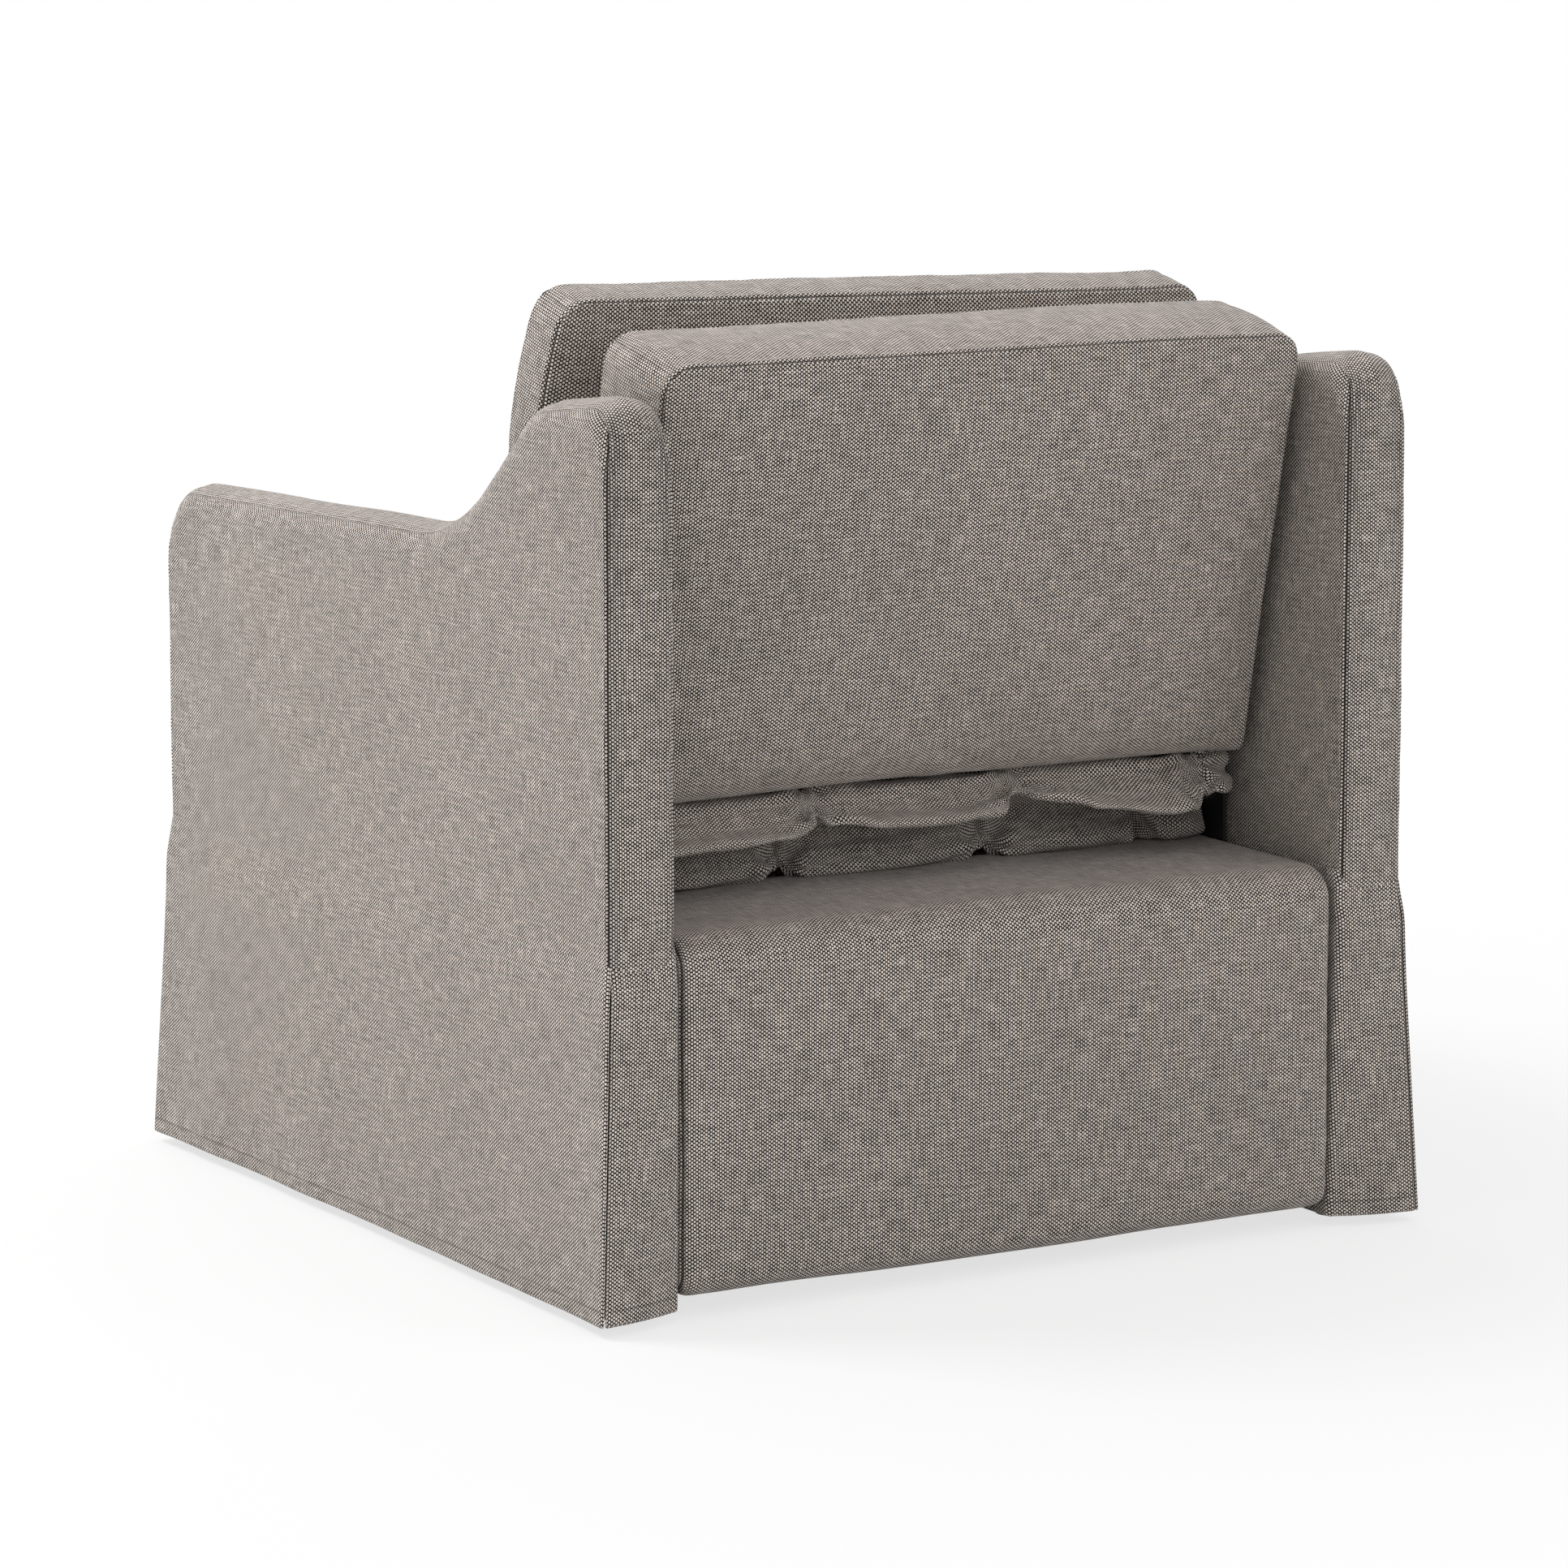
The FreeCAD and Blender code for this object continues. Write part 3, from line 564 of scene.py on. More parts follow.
def upholstery():
    """Two-tone plain weave with slubs, laid along the cloth; seams show as thin dark lines."""
    n = Nodes("upholstery_weave")
    column = 0.0024
    course = 0.00175
    rib_pitch = 0.0036
    dark = (0.008, 0.0065, 0.0055, 1.0)
    pale = (0.735, 0.66, 0.605, 1.0)
    spot = n.place()
    u, v, _ = n.split(n.node("ShaderNodeUVMap", uv_map="cloth").outputs[0])
    drift = n.math("MULTIPLY", n.math("SUBTRACT", n.noise(spot, 45.0, 2.0), 0.5), 1.6)
    a = n.math("MULTIPLY_ADD", u, math.pi / column, drift)
    b = n.math("MULTIPLY_ADD", v, math.pi / course, drift)
    wave = n.math("MULTIPLY", n.math("COSINE", a), n.math("COSINE", b))
    columns = n.math("COSINE", n.math("MULTIPLY", a, 2.0))
    height = n.math("MULTIPLY_ADD", wave, 0.42, n.math("MULTIPLY_ADD", columns, 0.16, 0.5))
    weft = n.noise(n.vector(n.math("MULTIPLY", u, 40.0), n.math("MULTIPLY", v, 420.0)), 1.0, 2.0)
    warp = n.noise(n.vector(n.math("MULTIPLY", u, 450.0), n.math("MULTIPLY", v, 45.0)), 1.0, 2.0)
    shade = n.math("SUBTRACT", n.math("ADD", weft, warp), 1.0)
    lit = n.smooth(n.math("MULTIPLY_ADD", shade, 0.26, height), 0.40, 0.56)
    colour = n.blend(lit, dark, pale)
    cloud = n.math("SUBTRACT", n.noise(spot, 9.0, 3.0), 0.5)
    tone = n.math("MULTIPLY_ADD", shade, 0.55, n.math("MULTIPLY_ADD", cloud, 0.24, 1.0))
    colour = n.blend(1.0, colour, n.vector(tone, tone, tone), "MULTIPLY")
    seam = n.node("ShaderNodeAttribute", attribute_name="seam").outputs["Fac"]
    rib = n.node("ShaderNodeAttribute", attribute_name="rib").outputs["Fac"]
    stitch = n.node("ShaderNodeAttribute", attribute_name="stitch").outputs["Fac"]
    # Painted shade: seams, the ribs beside them and stitch lines darken the colour, standing in for
    # the shade in their grooves.
    line = n.smooth(seam, 0.0004, 0.0018)
    sewing = n.smooth(stitch, 0.0003, 0.0013)
    ribs = n.math("SINE", n.math("MULTIPLY", seam, 2 * math.pi / rib_pitch))
    ribs = n.choose(rib, 1.0, n.math("MULTIPLY_ADD", ribs, 0.32, 0.68))
    painted_groove_shade = n.math("MULTIPLY", n.math("MULTIPLY_ADD", line, 0.74, 0.26), ribs)
    painted_groove_shade = n.math("MULTIPLY", painted_groove_shade, n.math("MULTIPLY_ADD", sewing, 0.38, 0.62))
    colour = n.blend(1.0, colour, n.vector(painted_groove_shade, painted_groove_shade, painted_groove_shade), "MULTIPLY")
    relief = n.math("MULTIPLY_ADD", ribs, 0.8, height)
    relief = n.math("MULTIPLY_ADD", line, 1.6, relief)
    return n.finish(colour, relief, 0.0006, 0.6, Roughness=0.92, Sheen_Weight=0.10,
                    Sheen_Roughness=0.5, Specular_IOR_Level=0.15)


def webbing():
    """Black ribbed webbing."""
    n = Nodes("webbing_ribs")
    rib_pitch = 0.0018
    cord_pitch = 0.0024
    x, _, z = n.split(n.place())
    rib = n.math("SINE", n.math("MULTIPLY", z, 2 * math.pi / rib_pitch))
    cord = n.math("SINE", n.math("MULTIPLY", x, 2 * math.pi / cord_pitch))
    height = n.math("MULTIPLY_ADD", n.math("MULTIPLY", rib, cord), 0.5, 0.5)
    colour = n.blend(height, (0.010, 0.009, 0.009, 1.0), (0.055, 0.052, 0.050, 1.0))
    return n.finish(colour, height, 0.0004, 0.8, Roughness=0.8, Specular_IOR_Level=0.25)


def wood(name, pale, deep, along, ring=42.0):
    """Sawn wood; along is the axis, 0 to 2, that its grain follows."""
    n = Nodes(name)
    stretch = 0.08
    scales = [stretch if axis == along else 1.0 for axis in range(3)]
    vector = n.scaled(n.place(), scales)
    wide = n.noise(vector, ring, 3.0)
    bands = n.math("FRACT", n.math("MULTIPLY", wide, 9.0))
    bands = n.smooth(n.math("ABSOLUTE", n.math("SUBTRACT", bands, 0.5)), 0.0, 0.5)
    pores = n.noise(vector, 900.0, 2.0)
    grain = n.math("MULTIPLY_ADD", bands, 0.65, n.math("MULTIPLY", pores, 0.5))
    colour = n.blend(grain, deep, pale)
    return n.finish(colour, grain, 0.0003, 0.5, Roughness=0.62, Specular_IOR_Level=0.3)


def plywood():
    """Birch board, its grain along Y."""
    return wood("plywood_birch", (0.66, 0.50, 0.33, 1.0), (0.42, 0.28, 0.16, 1.0), 1, 26.0)


def coated_steel():
    """Black powder coat with a fine orange peel and rubbed spots."""
    n = Nodes("powder_coat")
    spot = n.place()
    peel = n.noise(spot, 900.0, 2.0)
    rub = n.smooth(n.noise(spot, 34.0, 4.0), 0.55, 0.75)
    colour = n.blend(rub, (0.022, 0.022, 0.024, 1.0), (0.055, 0.055, 0.058, 1.0))
    rough = n.choose(rub, 0.42, 0.55)
    return n.finish(colour, peel, 0.0002, 0.35, Roughness=rough, Specular_IOR_Level=0.5)


def zinc_steel():
    """Zinc-plated steel with a brushed, slightly blotched face."""
    n = Nodes("zinc_plate")
    spot = n.place()
    brush = n.noise(n.scaled(spot, (40.0, 900.0, 900.0)), 1.0, 2.0)
    blotch = n.noise(spot, 60.0, 3.0)
    colour = n.blend(blotch, (0.42, 0.42, 0.40, 1.0), (0.68, 0.67, 0.63, 1.0))
    rough = n.choose(brush, 0.28, 0.5)
    return n.finish(colour, brush, 0.0001, 0.3, Metallic=1.0, Roughness=rough)


def black_plastic():
    """Moulded black nylon with a fine spark texture."""
    n = Nodes("moulded_nylon")
    spot = n.place()
    grain = n.noise(spot, 1500.0, 2.0)
    blush = n.noise(spot, 45.0, 2.0)
    colour = n.blend(blush, (0.014, 0.014, 0.015, 1.0), (0.032, 0.032, 0.033, 1.0))
    return n.finish(colour, grain, 0.0002, 0.5, Roughness=0.5, Specular_IOR_Level=0.4)


def wheel_rubber():
    """Grey tread rubber, dusty where it rolls."""
    n = Nodes("wheel_tread")
    spot = n.place()
    dust = n.smooth(n.noise(spot, 120.0, 4.0), 0.4, 0.75)
    colour = n.blend(dust, (0.030, 0.030, 0.031, 1.0), (0.10, 0.098, 0.094, 1.0))
    return n.finish(colour, dust, 0.0002, 0.4, Roughness=0.82, Specular_IOR_Level=0.3)


FABRIC = upholstery()
FINISHES = {
    "upholstery": FABRIC,
    "webbing": webbing(),
    "plywood": plywood(),
    "slat_wood": wood("slat_beech", (0.72, 0.54, 0.34, 1.0), (0.50, 0.34, 0.19, 1.0), 1),
    "coated_steel": coated_steel(),
    "zinc_steel": zinc_steel(),
    "black_plastic": black_plastic(),
    "wheel_rubber": wheel_rubber(),
}


def cushion(name, mesh, body, node):
    """An upholstered, padded piece that stands for a CAD node."""
    obj = add_object(name, mesh, FABRIC, body)
    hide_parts(node)


def boxing(depth, bows):
    """Rings across a strip of boxing that bows out between its two sewn edges."""
    lead = [(0.0, 0.0), (-0.0005, 0.004), (-0.001, 0.010)]
    middle = [(-bow, depth * t) for bow, t in zip(bows, np.linspace(0.2, 0.8, len(bows)))]
    return lead + middle + [(inset, depth - way) for inset, way in lead[::-1]]


def dress_frame():
    """Give every node that the part carries over the finish of its slot."""
    slots = {row["node"]: row["material_slot"] for row in frame["record"]["subparts"]}
    for name, obj in frame["nodes"].items():
        obj.data.materials.clear()
        obj.data.materials.append(FINISHES[slots[name]])


def backrest():
    """Hinged back: crisp rear panel, boxing with mitred corners, drooping on the sitter's right."""
    foot_corner = 0.014
    top_corner = 0.028
    turn = 0.013
    droop = 0.004
    sides = rounded_rectangle(
        2 * BACK_HALF_WIDTH, BACK_HEIGHT, (foot_corner, foot_corner, top_corner, top_corner),
    )
    stand = leaned(BACK_FOOT)

    def place(point, forward):
        """A point of the back, whose lower rear edge is rounded."""
        up = point[:, 1] + BACK_HEIGHT / 2
        forward = np.broadcast_to(forward, up.shape)
        near = np.stack([np.minimum(forward - turn, 0), np.minimum(up - turn, 0)])
        far = np.maximum(np.hypot(*near), 1e-9)
        pull = np.where((near < 0).all(axis=0) & (far > turn), 1 - turn / far, 0)
        return stand(point[:, 0], forward - near[0] * pull, up - near[1] * pull)

    bows = 0.004 * np.sin(math.pi * np.linspace(0.2, 0.8, 7))
    rings = boxing(BACK_EDGE, bows)
    mesh = boxed("backrest", sides, rings, place, (0.006, 0.016), mitres=(2, 3), plain=(0,))
    mesh = sewn(refined(inflated(mesh, 0.010, hold=0.8)), 1)
    co = coords(mesh)
    raised = np.clip((co[:, 2] - BACK_FOOT[1]) / BACK_HEIGHT, 0, 1)
    co[:, 2] -= droop * eased(-co[:, 0], 0.16, 0.36) * raised
    put_coords(mesh, co)
    cushion("backrest_cover", mesh, "back", "backrest_cushion")


def loose_cushion():
    """Loose cushion in front of the back, its sides bulging, its top higher on the sitter's left."""
    spread = 0.017
    rise = 0.017
    sides = rounded_rectangle(2 * PILLOW_HALF_WIDTH, PILLOW_HEIGHT, (0.03, 0.03, 0.027, 0.024))
    stand = leaned(PILLOW_FOOT)

    def place(point, forward):
        return stand(point[:, 0], forward - PILLOW_EDGE / 2, point[:, 1] + PILLOW_HEIGHT / 2)

    rings = [(0.0, 0.0), (-0.0005, 0.004)]
    rings += [(-0.0015 * math.sin(math.pi * t), PILLOW_EDGE * t) for t in np.linspace(0.2, 0.8, 4)]
    rings += [(-0.0005, PILLOW_EDGE - 0.004), (0.0, PILLOW_EDGE)]
    mesh = boxed("pillow", sides, rings, place, (0.034, 0.032), mitres=(2, 3), steep=0.8)
    mesh = sewn(refined(inflated(mesh, 0.012, hold=0.7)), 2, sag=0.002)
    co = coords(mesh)
    raised = np.clip((co[:, 2] - PILLOW_FOOT[1]) / PILLOW_HEIGHT, 0, 1)
    across = co[:, 0] / PILLOW_HALF_WIDTH
    co[:, 0] += across ** 3 * spread * np.sin(math.pi * raised ** 1.8)
    co[:, 2] += rise * np.clip((across + 0.85) / 1.85, 0, 1) * raised
    put_coords(mesh, co)
    cushion("loose_cushion_cover", mesh, "loose_cushion", "loose_back_cushion")


def seat():
    """Boxed seat cushion on the slats."""
    low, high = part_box("seat_cushion")
    thick = 0.110
    sides = rounded_rectangle(high.x - low.x, high.y - low.y, (0.024,) * 4)

    def place(point, up):
        y = point[:, 1] + (high.y + low.y) / 2
        return spots(point[:, 0], y, low.z + up)

    mesh = boxed("seat", sides, boxing(thick, [0.001] * 7), place, (0.0, 0.009), mitres=(0, 1))
    flat = coords(mesh)
    mesh = inflated(mesh, 0.006, hold=0.8)
    co = coords(mesh)
    co[:, 2] = np.maximum(co[:, 2], low.z)
    resting = flat[:, 2] < low.z + 1e-5
    co[resting] = flat[resting]
    put_coords(mesh, co)
    mesh = sewn(refined(mesh), 3)
    cushion("seat_cushion_cover", mesh, "chair", "seat_cushion")


def rear_block():
    """Upholstered box across the rear: one cloth over top, rear and bottom, and two end panels."""
    low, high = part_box("rear_block_cover")
    depth = high.y - low.y
    tall = high.z - low.z
    half = high.x
    turn = 0.012
    sides = rounded_rectangle(depth, tall, (0.014, 0.022, 0.034, 0.014))

    def place(point, across):
        y = point[:, 0] + (high.y + low.y) / 2
        z = point[:, 1] + (high.z + low.z) / 2
        return spots(across - half, y, z)

    bend = [math.radians(a) for a in (0, 22.5, 45, 67.5, 90)]
    near = [(turn * (1 - math.sin(a)), turn * (1 - math.cos(a))) for a in bend]
    flat = [(-0.002 * math.sin(math.pi * t), turn + (2 * half - 2 * turn) * t)
            for t in np.linspace(0, 1, 56)[1:-1]]
    far = [(inset, 2 * half - way) for inset, way in near[::-1]]
    rings = near + flat + far
    mesh = boxed("block", sides, rings, place, (0.0, 0.0), seams=(1, -2), crosswise=True)
    mesh = sewn(refined(mesh), 4, sag=0.0014)
    cushion("rear_block_upholstery", mesh, "chair", "rear_block_cover")


def arm_run():
    """Side view of an arm from its front foot over the top to its rear foot, in three sides."""
    nose = 0.045
    tail = 0.034
    rise = 1.8
    climb = 39.4
    crest = 7.2
    slope = math.radians(crest)
    start = (ARM_FRONT, FLOOR_GAP)
    lead = [
        (ARM_FRONT_HEIGHT - nose - FLOOR_GAP,), (nose, -44.0), None, (nose, rise - 46.0),
        (0.474,), (0.220, climb - rise), (0.113,), (0.063, crest - climb),
    ]
    end = run_sides(start, 90.0, lead, 90.0)[-1][0][-1]
    level = (HALF_D - end[0] - tail * (1 + math.sin(slope))) / math.cos(slope)
    fall = end[1] + level * math.sin(slope) - tail * math.cos(slope) - FLOOR_GAP
    half_turn = (-90.0 - crest) / 2
    steps = lead + [(level,), (tail, half_turn), None, (tail, half_turn), (fall,)]
    return run_sides(start, 90.0, steps, 90.0)


def arm_cover(name, side):
    """Padded arm: outer and inner panels, a strip crowned over the top, and a base in the skirts.

    The strip is crisp up the front and the rear and turns round just below the corners.
    """
    up, top, down = arm_run()
    tall = int(max(density(up, CELL)[-1], density(down, CELL)[-1]))
    wide = int(density(top, CELL)[-1])
    left, left_out = sample(up, tall, CELL)
    over, over_out = sample(top, wide, CELL)
    right, right_out = sample(down, tall, CELL)
    line = np.concatenate([left, over[1:], right[1:]])
    out = np.concatenate([left_out, over_out[1:], right_out[1:]])
    crisp = 0.006
    round_top = 0.026
    grows_from = 0.065
    grown_at = 0.008
    crest = np.concatenate([
        np.full(len(left), left[-1, 1]),
        np.zeros(len(over) - 1),
        np.full(len(right) - 1, right[0, 1]),
    ])
    radius = crisp + (round_top - crisp) * eased(line[:, 1], crest - grows_from, crest - grown_at)
    bend = np.radians([0, 15, 30, 45, 60, 75, 90])
    sewn_at = bend[3]
    crown = [(radius * (1 - math.cos(a)), radius * (1 - math.sin(a))) for a in bend]
    crown_away = [radius * abs(a - sewn_at) for a in bend]
    columns = [(HALF_W - inward, inset) for inward, inset in crown]
    away = list(crown_away)
    middle = np.linspace(0, 1, 7)[1:-1]
    x0 = HALF_W - radius
    x1 = ARM_INNER + radius
    bow = 0.002
    for t in middle:
        columns.append((x0 + (x1 - x0) * t, np.full(len(line), -bow * math.sin(math.pi * t))))
        away.append(np.minimum(t, 1 - t) * (x0 - x1) + radius * (bend[-1] - sewn_at))
    columns += [(ARM_INNER + inward, inset) for inward, inset in crown[::-1]]
    away += crown_away[::-1]
    strip = []
    for x, inset in columns:
        p = line - out * inset[:, None]
        strip.append(np.stack([side * x, p[:, 0], p[:, 1]], axis=1))
    strip = np.array(strip)
    away = np.array(away)
    # rib is the strength of the ribs beside the rear seams, drawn as bump and as painted shade in
    # their furrows; dark is the seam distance, pushed away off the upright faces so that the seam
    # groove and its painted shade are fainter over the top.
    behind = eased(out[:, 0], 0.6, 0.95) * (0.4 + 0.6 * eased(line[:, 1], 0.60, 0.76))
    rib = behind[None, :] * np.exp(-((away / 0.013) ** 2))
    upright = eased(np.abs(out[:, 0]), 0.6, 0.95)
    dark = away + 0.02 * (1 - upright)[None, :]
    along = run_length(line)
    along = along - along[-1] - FLOOR_GAP
    across = np.concatenate([
        np.zeros((1, len(line))),
        np.cumsum(np.linalg.norm(np.diff(strip, axis=0), axis=2), axis=0),
    ])
    shell = Shell()
    flank = slice(0, 4), slice(-4, None)
    for part, edge in zip(flank, (0, -1)):
        reach = np.abs(across[part] - across[edge])[..., None]
        lie = strip[edge][None, :, 1:] + out[None] * reach
        shell.add(strip[part], dark[part], 0.0, away[part], cloth=lie)
    mid = slice(3, len(strip) - 3)
    breadth = across[mid] - across[-1] / 2
    lie = np.stack([breadth, np.broadcast_to(along, breadth.shape)], axis=-1)
    shell.add(strip[mid], dark[mid], rib[mid], away[mid], cloth=lie)
    cut = len(left) - 1
    cut2 = cut + len(over) - 1
    for row, x in ((0, side * HALF_W), (-1, side * ARM_INNER)):
        border = strip[row][:, 1:]
        a, b, c = border[:cut + 1], border[cut:cut2 + 1], border[cut2:][::-1]
        share = arc_share(b)[:, None]
        floor = a[0] * (1 - share) + c[0] * share
        flat = coons(floor, c, b, a)
        u = arc_share(floor) * 2 - 1
        v = arc_share(a)
        grid = np.stack([np.full(flat.shape[:2], x), flat[..., 0], flat[..., 1]], axis=-1)
        reach = np.minimum((1 - np.abs(u))[None, :] * HALF_D, (1 - v)[:, None] * 0.4)
        shell.add(grid, reach + 0.020, cloth=flat)
        if row == 0:
            outer_floor = grid[0]
        else:
            inner_floor = grid[0]
    share = ((HALF_W - strip[:, -1, 0] * side) / ARM_WIDTH)[:, None, None]
    cap = outer_floor[None] * (1 - share) + inner_floor[None] * share
    cap[:, 0] = strip[:, 0]
    cap[:, -1] = strip[:, -1]
    shell.add(cap)
    return shell.build(name)


def in_skirts(co):
    """Draw the base of an arm in under its skirts."""
    deepest = 0.005
    drop = np.clip(SKIRT_TOP - co[:, 2], 0, None)
    inset = np.minimum(drop ** 2 / 0.08, deepest)
    outer = np.clip((np.abs(co[:, 0]) - ARM_INNER) / ARM_WIDTH, 0, 1)
    co[:, 0] -= np.sign(co[:, 0]) * inset * outer
    co[:, 1] *= 1 - inset / HALF_D
    return co


def unit(v):
    """Vectors of length one."""
    return v / np.maximum(np.linalg.norm(v, axis=-1, keepdims=True), 1e-9)


def border(grid):
    """The points round the edge of a grid, once round."""
    return np.concatenate([grid[0], grid[1:, -1], grid[-1, -2::-1], grid[-2:0:-1, 0]])


def sheet_mesh(name, middle, thick, cloth=None, stitch=1.0):
    """Cloth of one thickness with rounded edges; middle is a grid of points halfway through it."""
    out = unit(np.cross(np.gradient(middle, axis=1), np.gradient(middle, axis=0)))
    edge = np.zeros_like(middle)
    edge[0] += unit(middle[0] - middle[1])
    edge[-1] += unit(middle[-1] - middle[-2])
    edge[:, 0] += unit(middle[:, 0] - middle[:, 1])
    edge[:, -1] += unit(middle[:, -1] - middle[:, -2])
    if cloth is None:
        rows, cols = middle.shape[:2]
        cloth = laid_flat(run_length(middle[rows // 2]), run_length(middle[:, cols // 2]))
    front = middle + out * thick / 2
    back = middle - out * thick / 2
    shell = Shell()
    shell.add(front, stitch=stitch, cloth=cloth)
    shell.add(back, stitch=stitch, cloth=cloth)
    rim = np.stack([border(front), border(middle + edge * thick * 0.45), border(back)])
    laid = border(cloth)
    laid = np.concatenate([laid, laid[:1]])
    shell.add(rim, closed=True, cloth=np.stack([laid, laid + thick / 2, laid + thick]))
    return refined(shell.build(name))


def sheet_size(middle):
    """Width, length and area of a grid of points, laid flat."""
    wide = max(run_length(row)[-1] for row in middle)
    tall = max(run_length(column)[-1] for column in middle.transpose(1, 0, 2))
    d = middle[1:, 1:] - middle[:-1, :-1]
    e = middle[1:, :-1] - middle[:-1, 1:]
    area = np.linalg.norm(np.cross(d, e), axis=-1).sum() / 2
    return (float(wide), float(tall)), float(area)


def hang(name, middle, body, node, cloth=None, stitch=1.0, thick=CLOTH):
    """A sheet of upholstery cloth that stands for a CAD node."""
    mesh = sheet_mesh(name, middle, thick, cloth, stitch)
    obj = add_object(name, mesh, FABRIC, body)
    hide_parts(node)
    flat, area = sheet_size(middle)
    return obj


def flare(drop):
    """How far a skirt stands out at each drop below its seam; above, it goes in under the cover."""
    bend = 0.12
    span = SKIRT_TOP - HEM_HEIGHT
    run = np.where(drop < bend, drop ** 2 / (2 * bend), drop - bend / 2)
    swell = 0.0045
    out = swell * eased(drop, 0.0, 0.045) + (HEM_FLARE - swell) * run / (span - bend / 2)
    return np.where(drop < 0, -drop ** 2 / 0.04, out)


def skirt_drops():
    """Drops of a skirt's rows, with one on its stitch line, and their shares of the whole."""
    span = SKIRT_TOP - HEM_HEIGHT
    stitched = span - HEM_FOLD
    close = 0.004
    drops = np.linspace(-0.010, stitched - 3 * close, 26)
    last = [stitched - close, stitched, stitched + close, span - close, span]
    drops = np.concatenate([drops, last])
    return drops, np.clip(drops / span, 0, 1), np.abs(drops - stitched)


def edge_round(gap, radius=0.006):
    """How far a panel turns in near its vertical edge; gap is the distance to the corner."""
    near = np.clip(radius - gap, 0, radius)
    return radius - np.sqrt(radius ** 2 - near ** 2)


def crowded(count, squeeze):
    """Places from -1 to 1, closer together towards both ends."""
    span = math.pi / 2 * squeeze
    return np.sin(np.linspace(-1, 1, count) * span) / math.sin(span)


def rippled(t, pitch, lane, row):
    """Smooth noise along a line of cloth."""
    return np.array([noise.noise(Vector((v * pitch, lane, row))) for v in t])


def side_skirt(prefix, side):
    """Skirt panel along the outer side of an arm."""
    slit = 0.0016
    hollow = 0.006
    deep = 0.0022
    drops, share, off = skirt_drops()
    t = crowded(90, 0.94)
    reach = flare(drops)
    y = t[None, :] * (HALF_D + reach - slit)[:, None]
    x = (HALF_W - CLOTH / 2 + reach)[:, None] - hollow * share[:, None] * (1 - t ** 2)[None, :]
    x = x + deep * share[:, None] ** 1.5 * rippled(t, 5.0, 3.1 * side, 0.7)[None, :]
    x = x - edge_round((1 - np.abs(t))[None, :] * HALF_D + slit) * (1 - 0.6 * share[:, None])
    z = np.broadcast_to((SKIRT_TOP - drops)[:, None], y.shape)
    middle = np.stack([side * x, y, z], axis=-1)
    cloth = np.stack([np.broadcast_to(t * HALF_D, y.shape), z], axis=-1)
    hang(f"{prefix}_side_skirt", middle, "chair", f"{prefix}_arm_side_skirt",
         cloth=cloth, stitch=off[:, None])


def end_skirt(prefix, side, end):
    """Skirt panel across an arm's rear, end 1, or front, end -1, turned in at its inner edge."""
    turn = 0.006
    returned = 0.045 if end > 0 else 0.012
    tuck = 0.0205
    closed = 0.0008
    gape = 0.0034
    swell = 0.003
    deep = 0.0014
    which = "rear" if end > 0 else "front"
    drops, share, off = skirt_drops()
    t = crowded(26, 0.9) / 2 + 0.5
    ripple = rippled(t, 3.0, 5.3 * side, end * 1.9)
    rows = []
    cloth = []
    for drop, part, reach in zip(drops, share, flare(drops)):
        slit = closed + gape * float(eased(drop, 0.0, 0.03)) * (1 - 0.6 * part)
        x_out = HALF_W + reach - CLOTH - slit
        x_in = ARM_INNER + turn - 0.0018 - 0.0026 * part
        x = x_out + (x_in - x_out) * t
        y = HALF_D - CLOTH / 2 + reach - tuck * part ** 1.2 * t + swell * part * 4 * t * (1 - t)
        y -= edge_round(t * (x_out - x_in) + slit) * (1 - 0.6 * part)
        y += deep * part * ripple
        a = np.radians(np.linspace(0, 90, 7)[1:])
        x = np.concatenate([x, x[-1] - turn * np.sin(a), np.full(10, x[-1] - turn)])
        y_arc = y[-1] - turn * (1 - np.cos(a))
        y = np.concatenate([y, y_arc, y_arc[-1] - np.linspace(0, returned, 11)[1:]])
        rows.append(np.stack([side * x, end * y, np.full(len(x), SKIRT_TOP - drop)], axis=-1))
        lie = run_length(np.stack([x, y], axis=-1))
        cloth.append(np.stack([lie, np.full(len(x), SKIRT_TOP - drop)], axis=-1))
    hang(f"{prefix}_{which}_skirt", np.array(rows), "chair", f"{prefix}_arm_{which}_skirt",
         cloth=np.array(cloth), stitch=off[:, None])


def arm(prefix, side):
    """One arm with its padded base and its three skirt panels."""
    mesh = refined(arm_cover(f"{prefix}_arm", side))
    seed = 5 if side > 0 else 6
    mesh = sewn(mesh, seed, calm=lambda co: eased(co[:, 2], SKIRT_TOP, SKIRT_TOP + 0.05))
    put_coords(mesh, in_skirts(coords(mesh)))
    cushion(f"{prefix}_arm_upholstery", mesh, "chair", f"{prefix}_arm_cover")
    side_skirt(prefix, side)
    end_skirt(prefix, side, 1.0)
    end_skirt(prefix, side, -1.0)


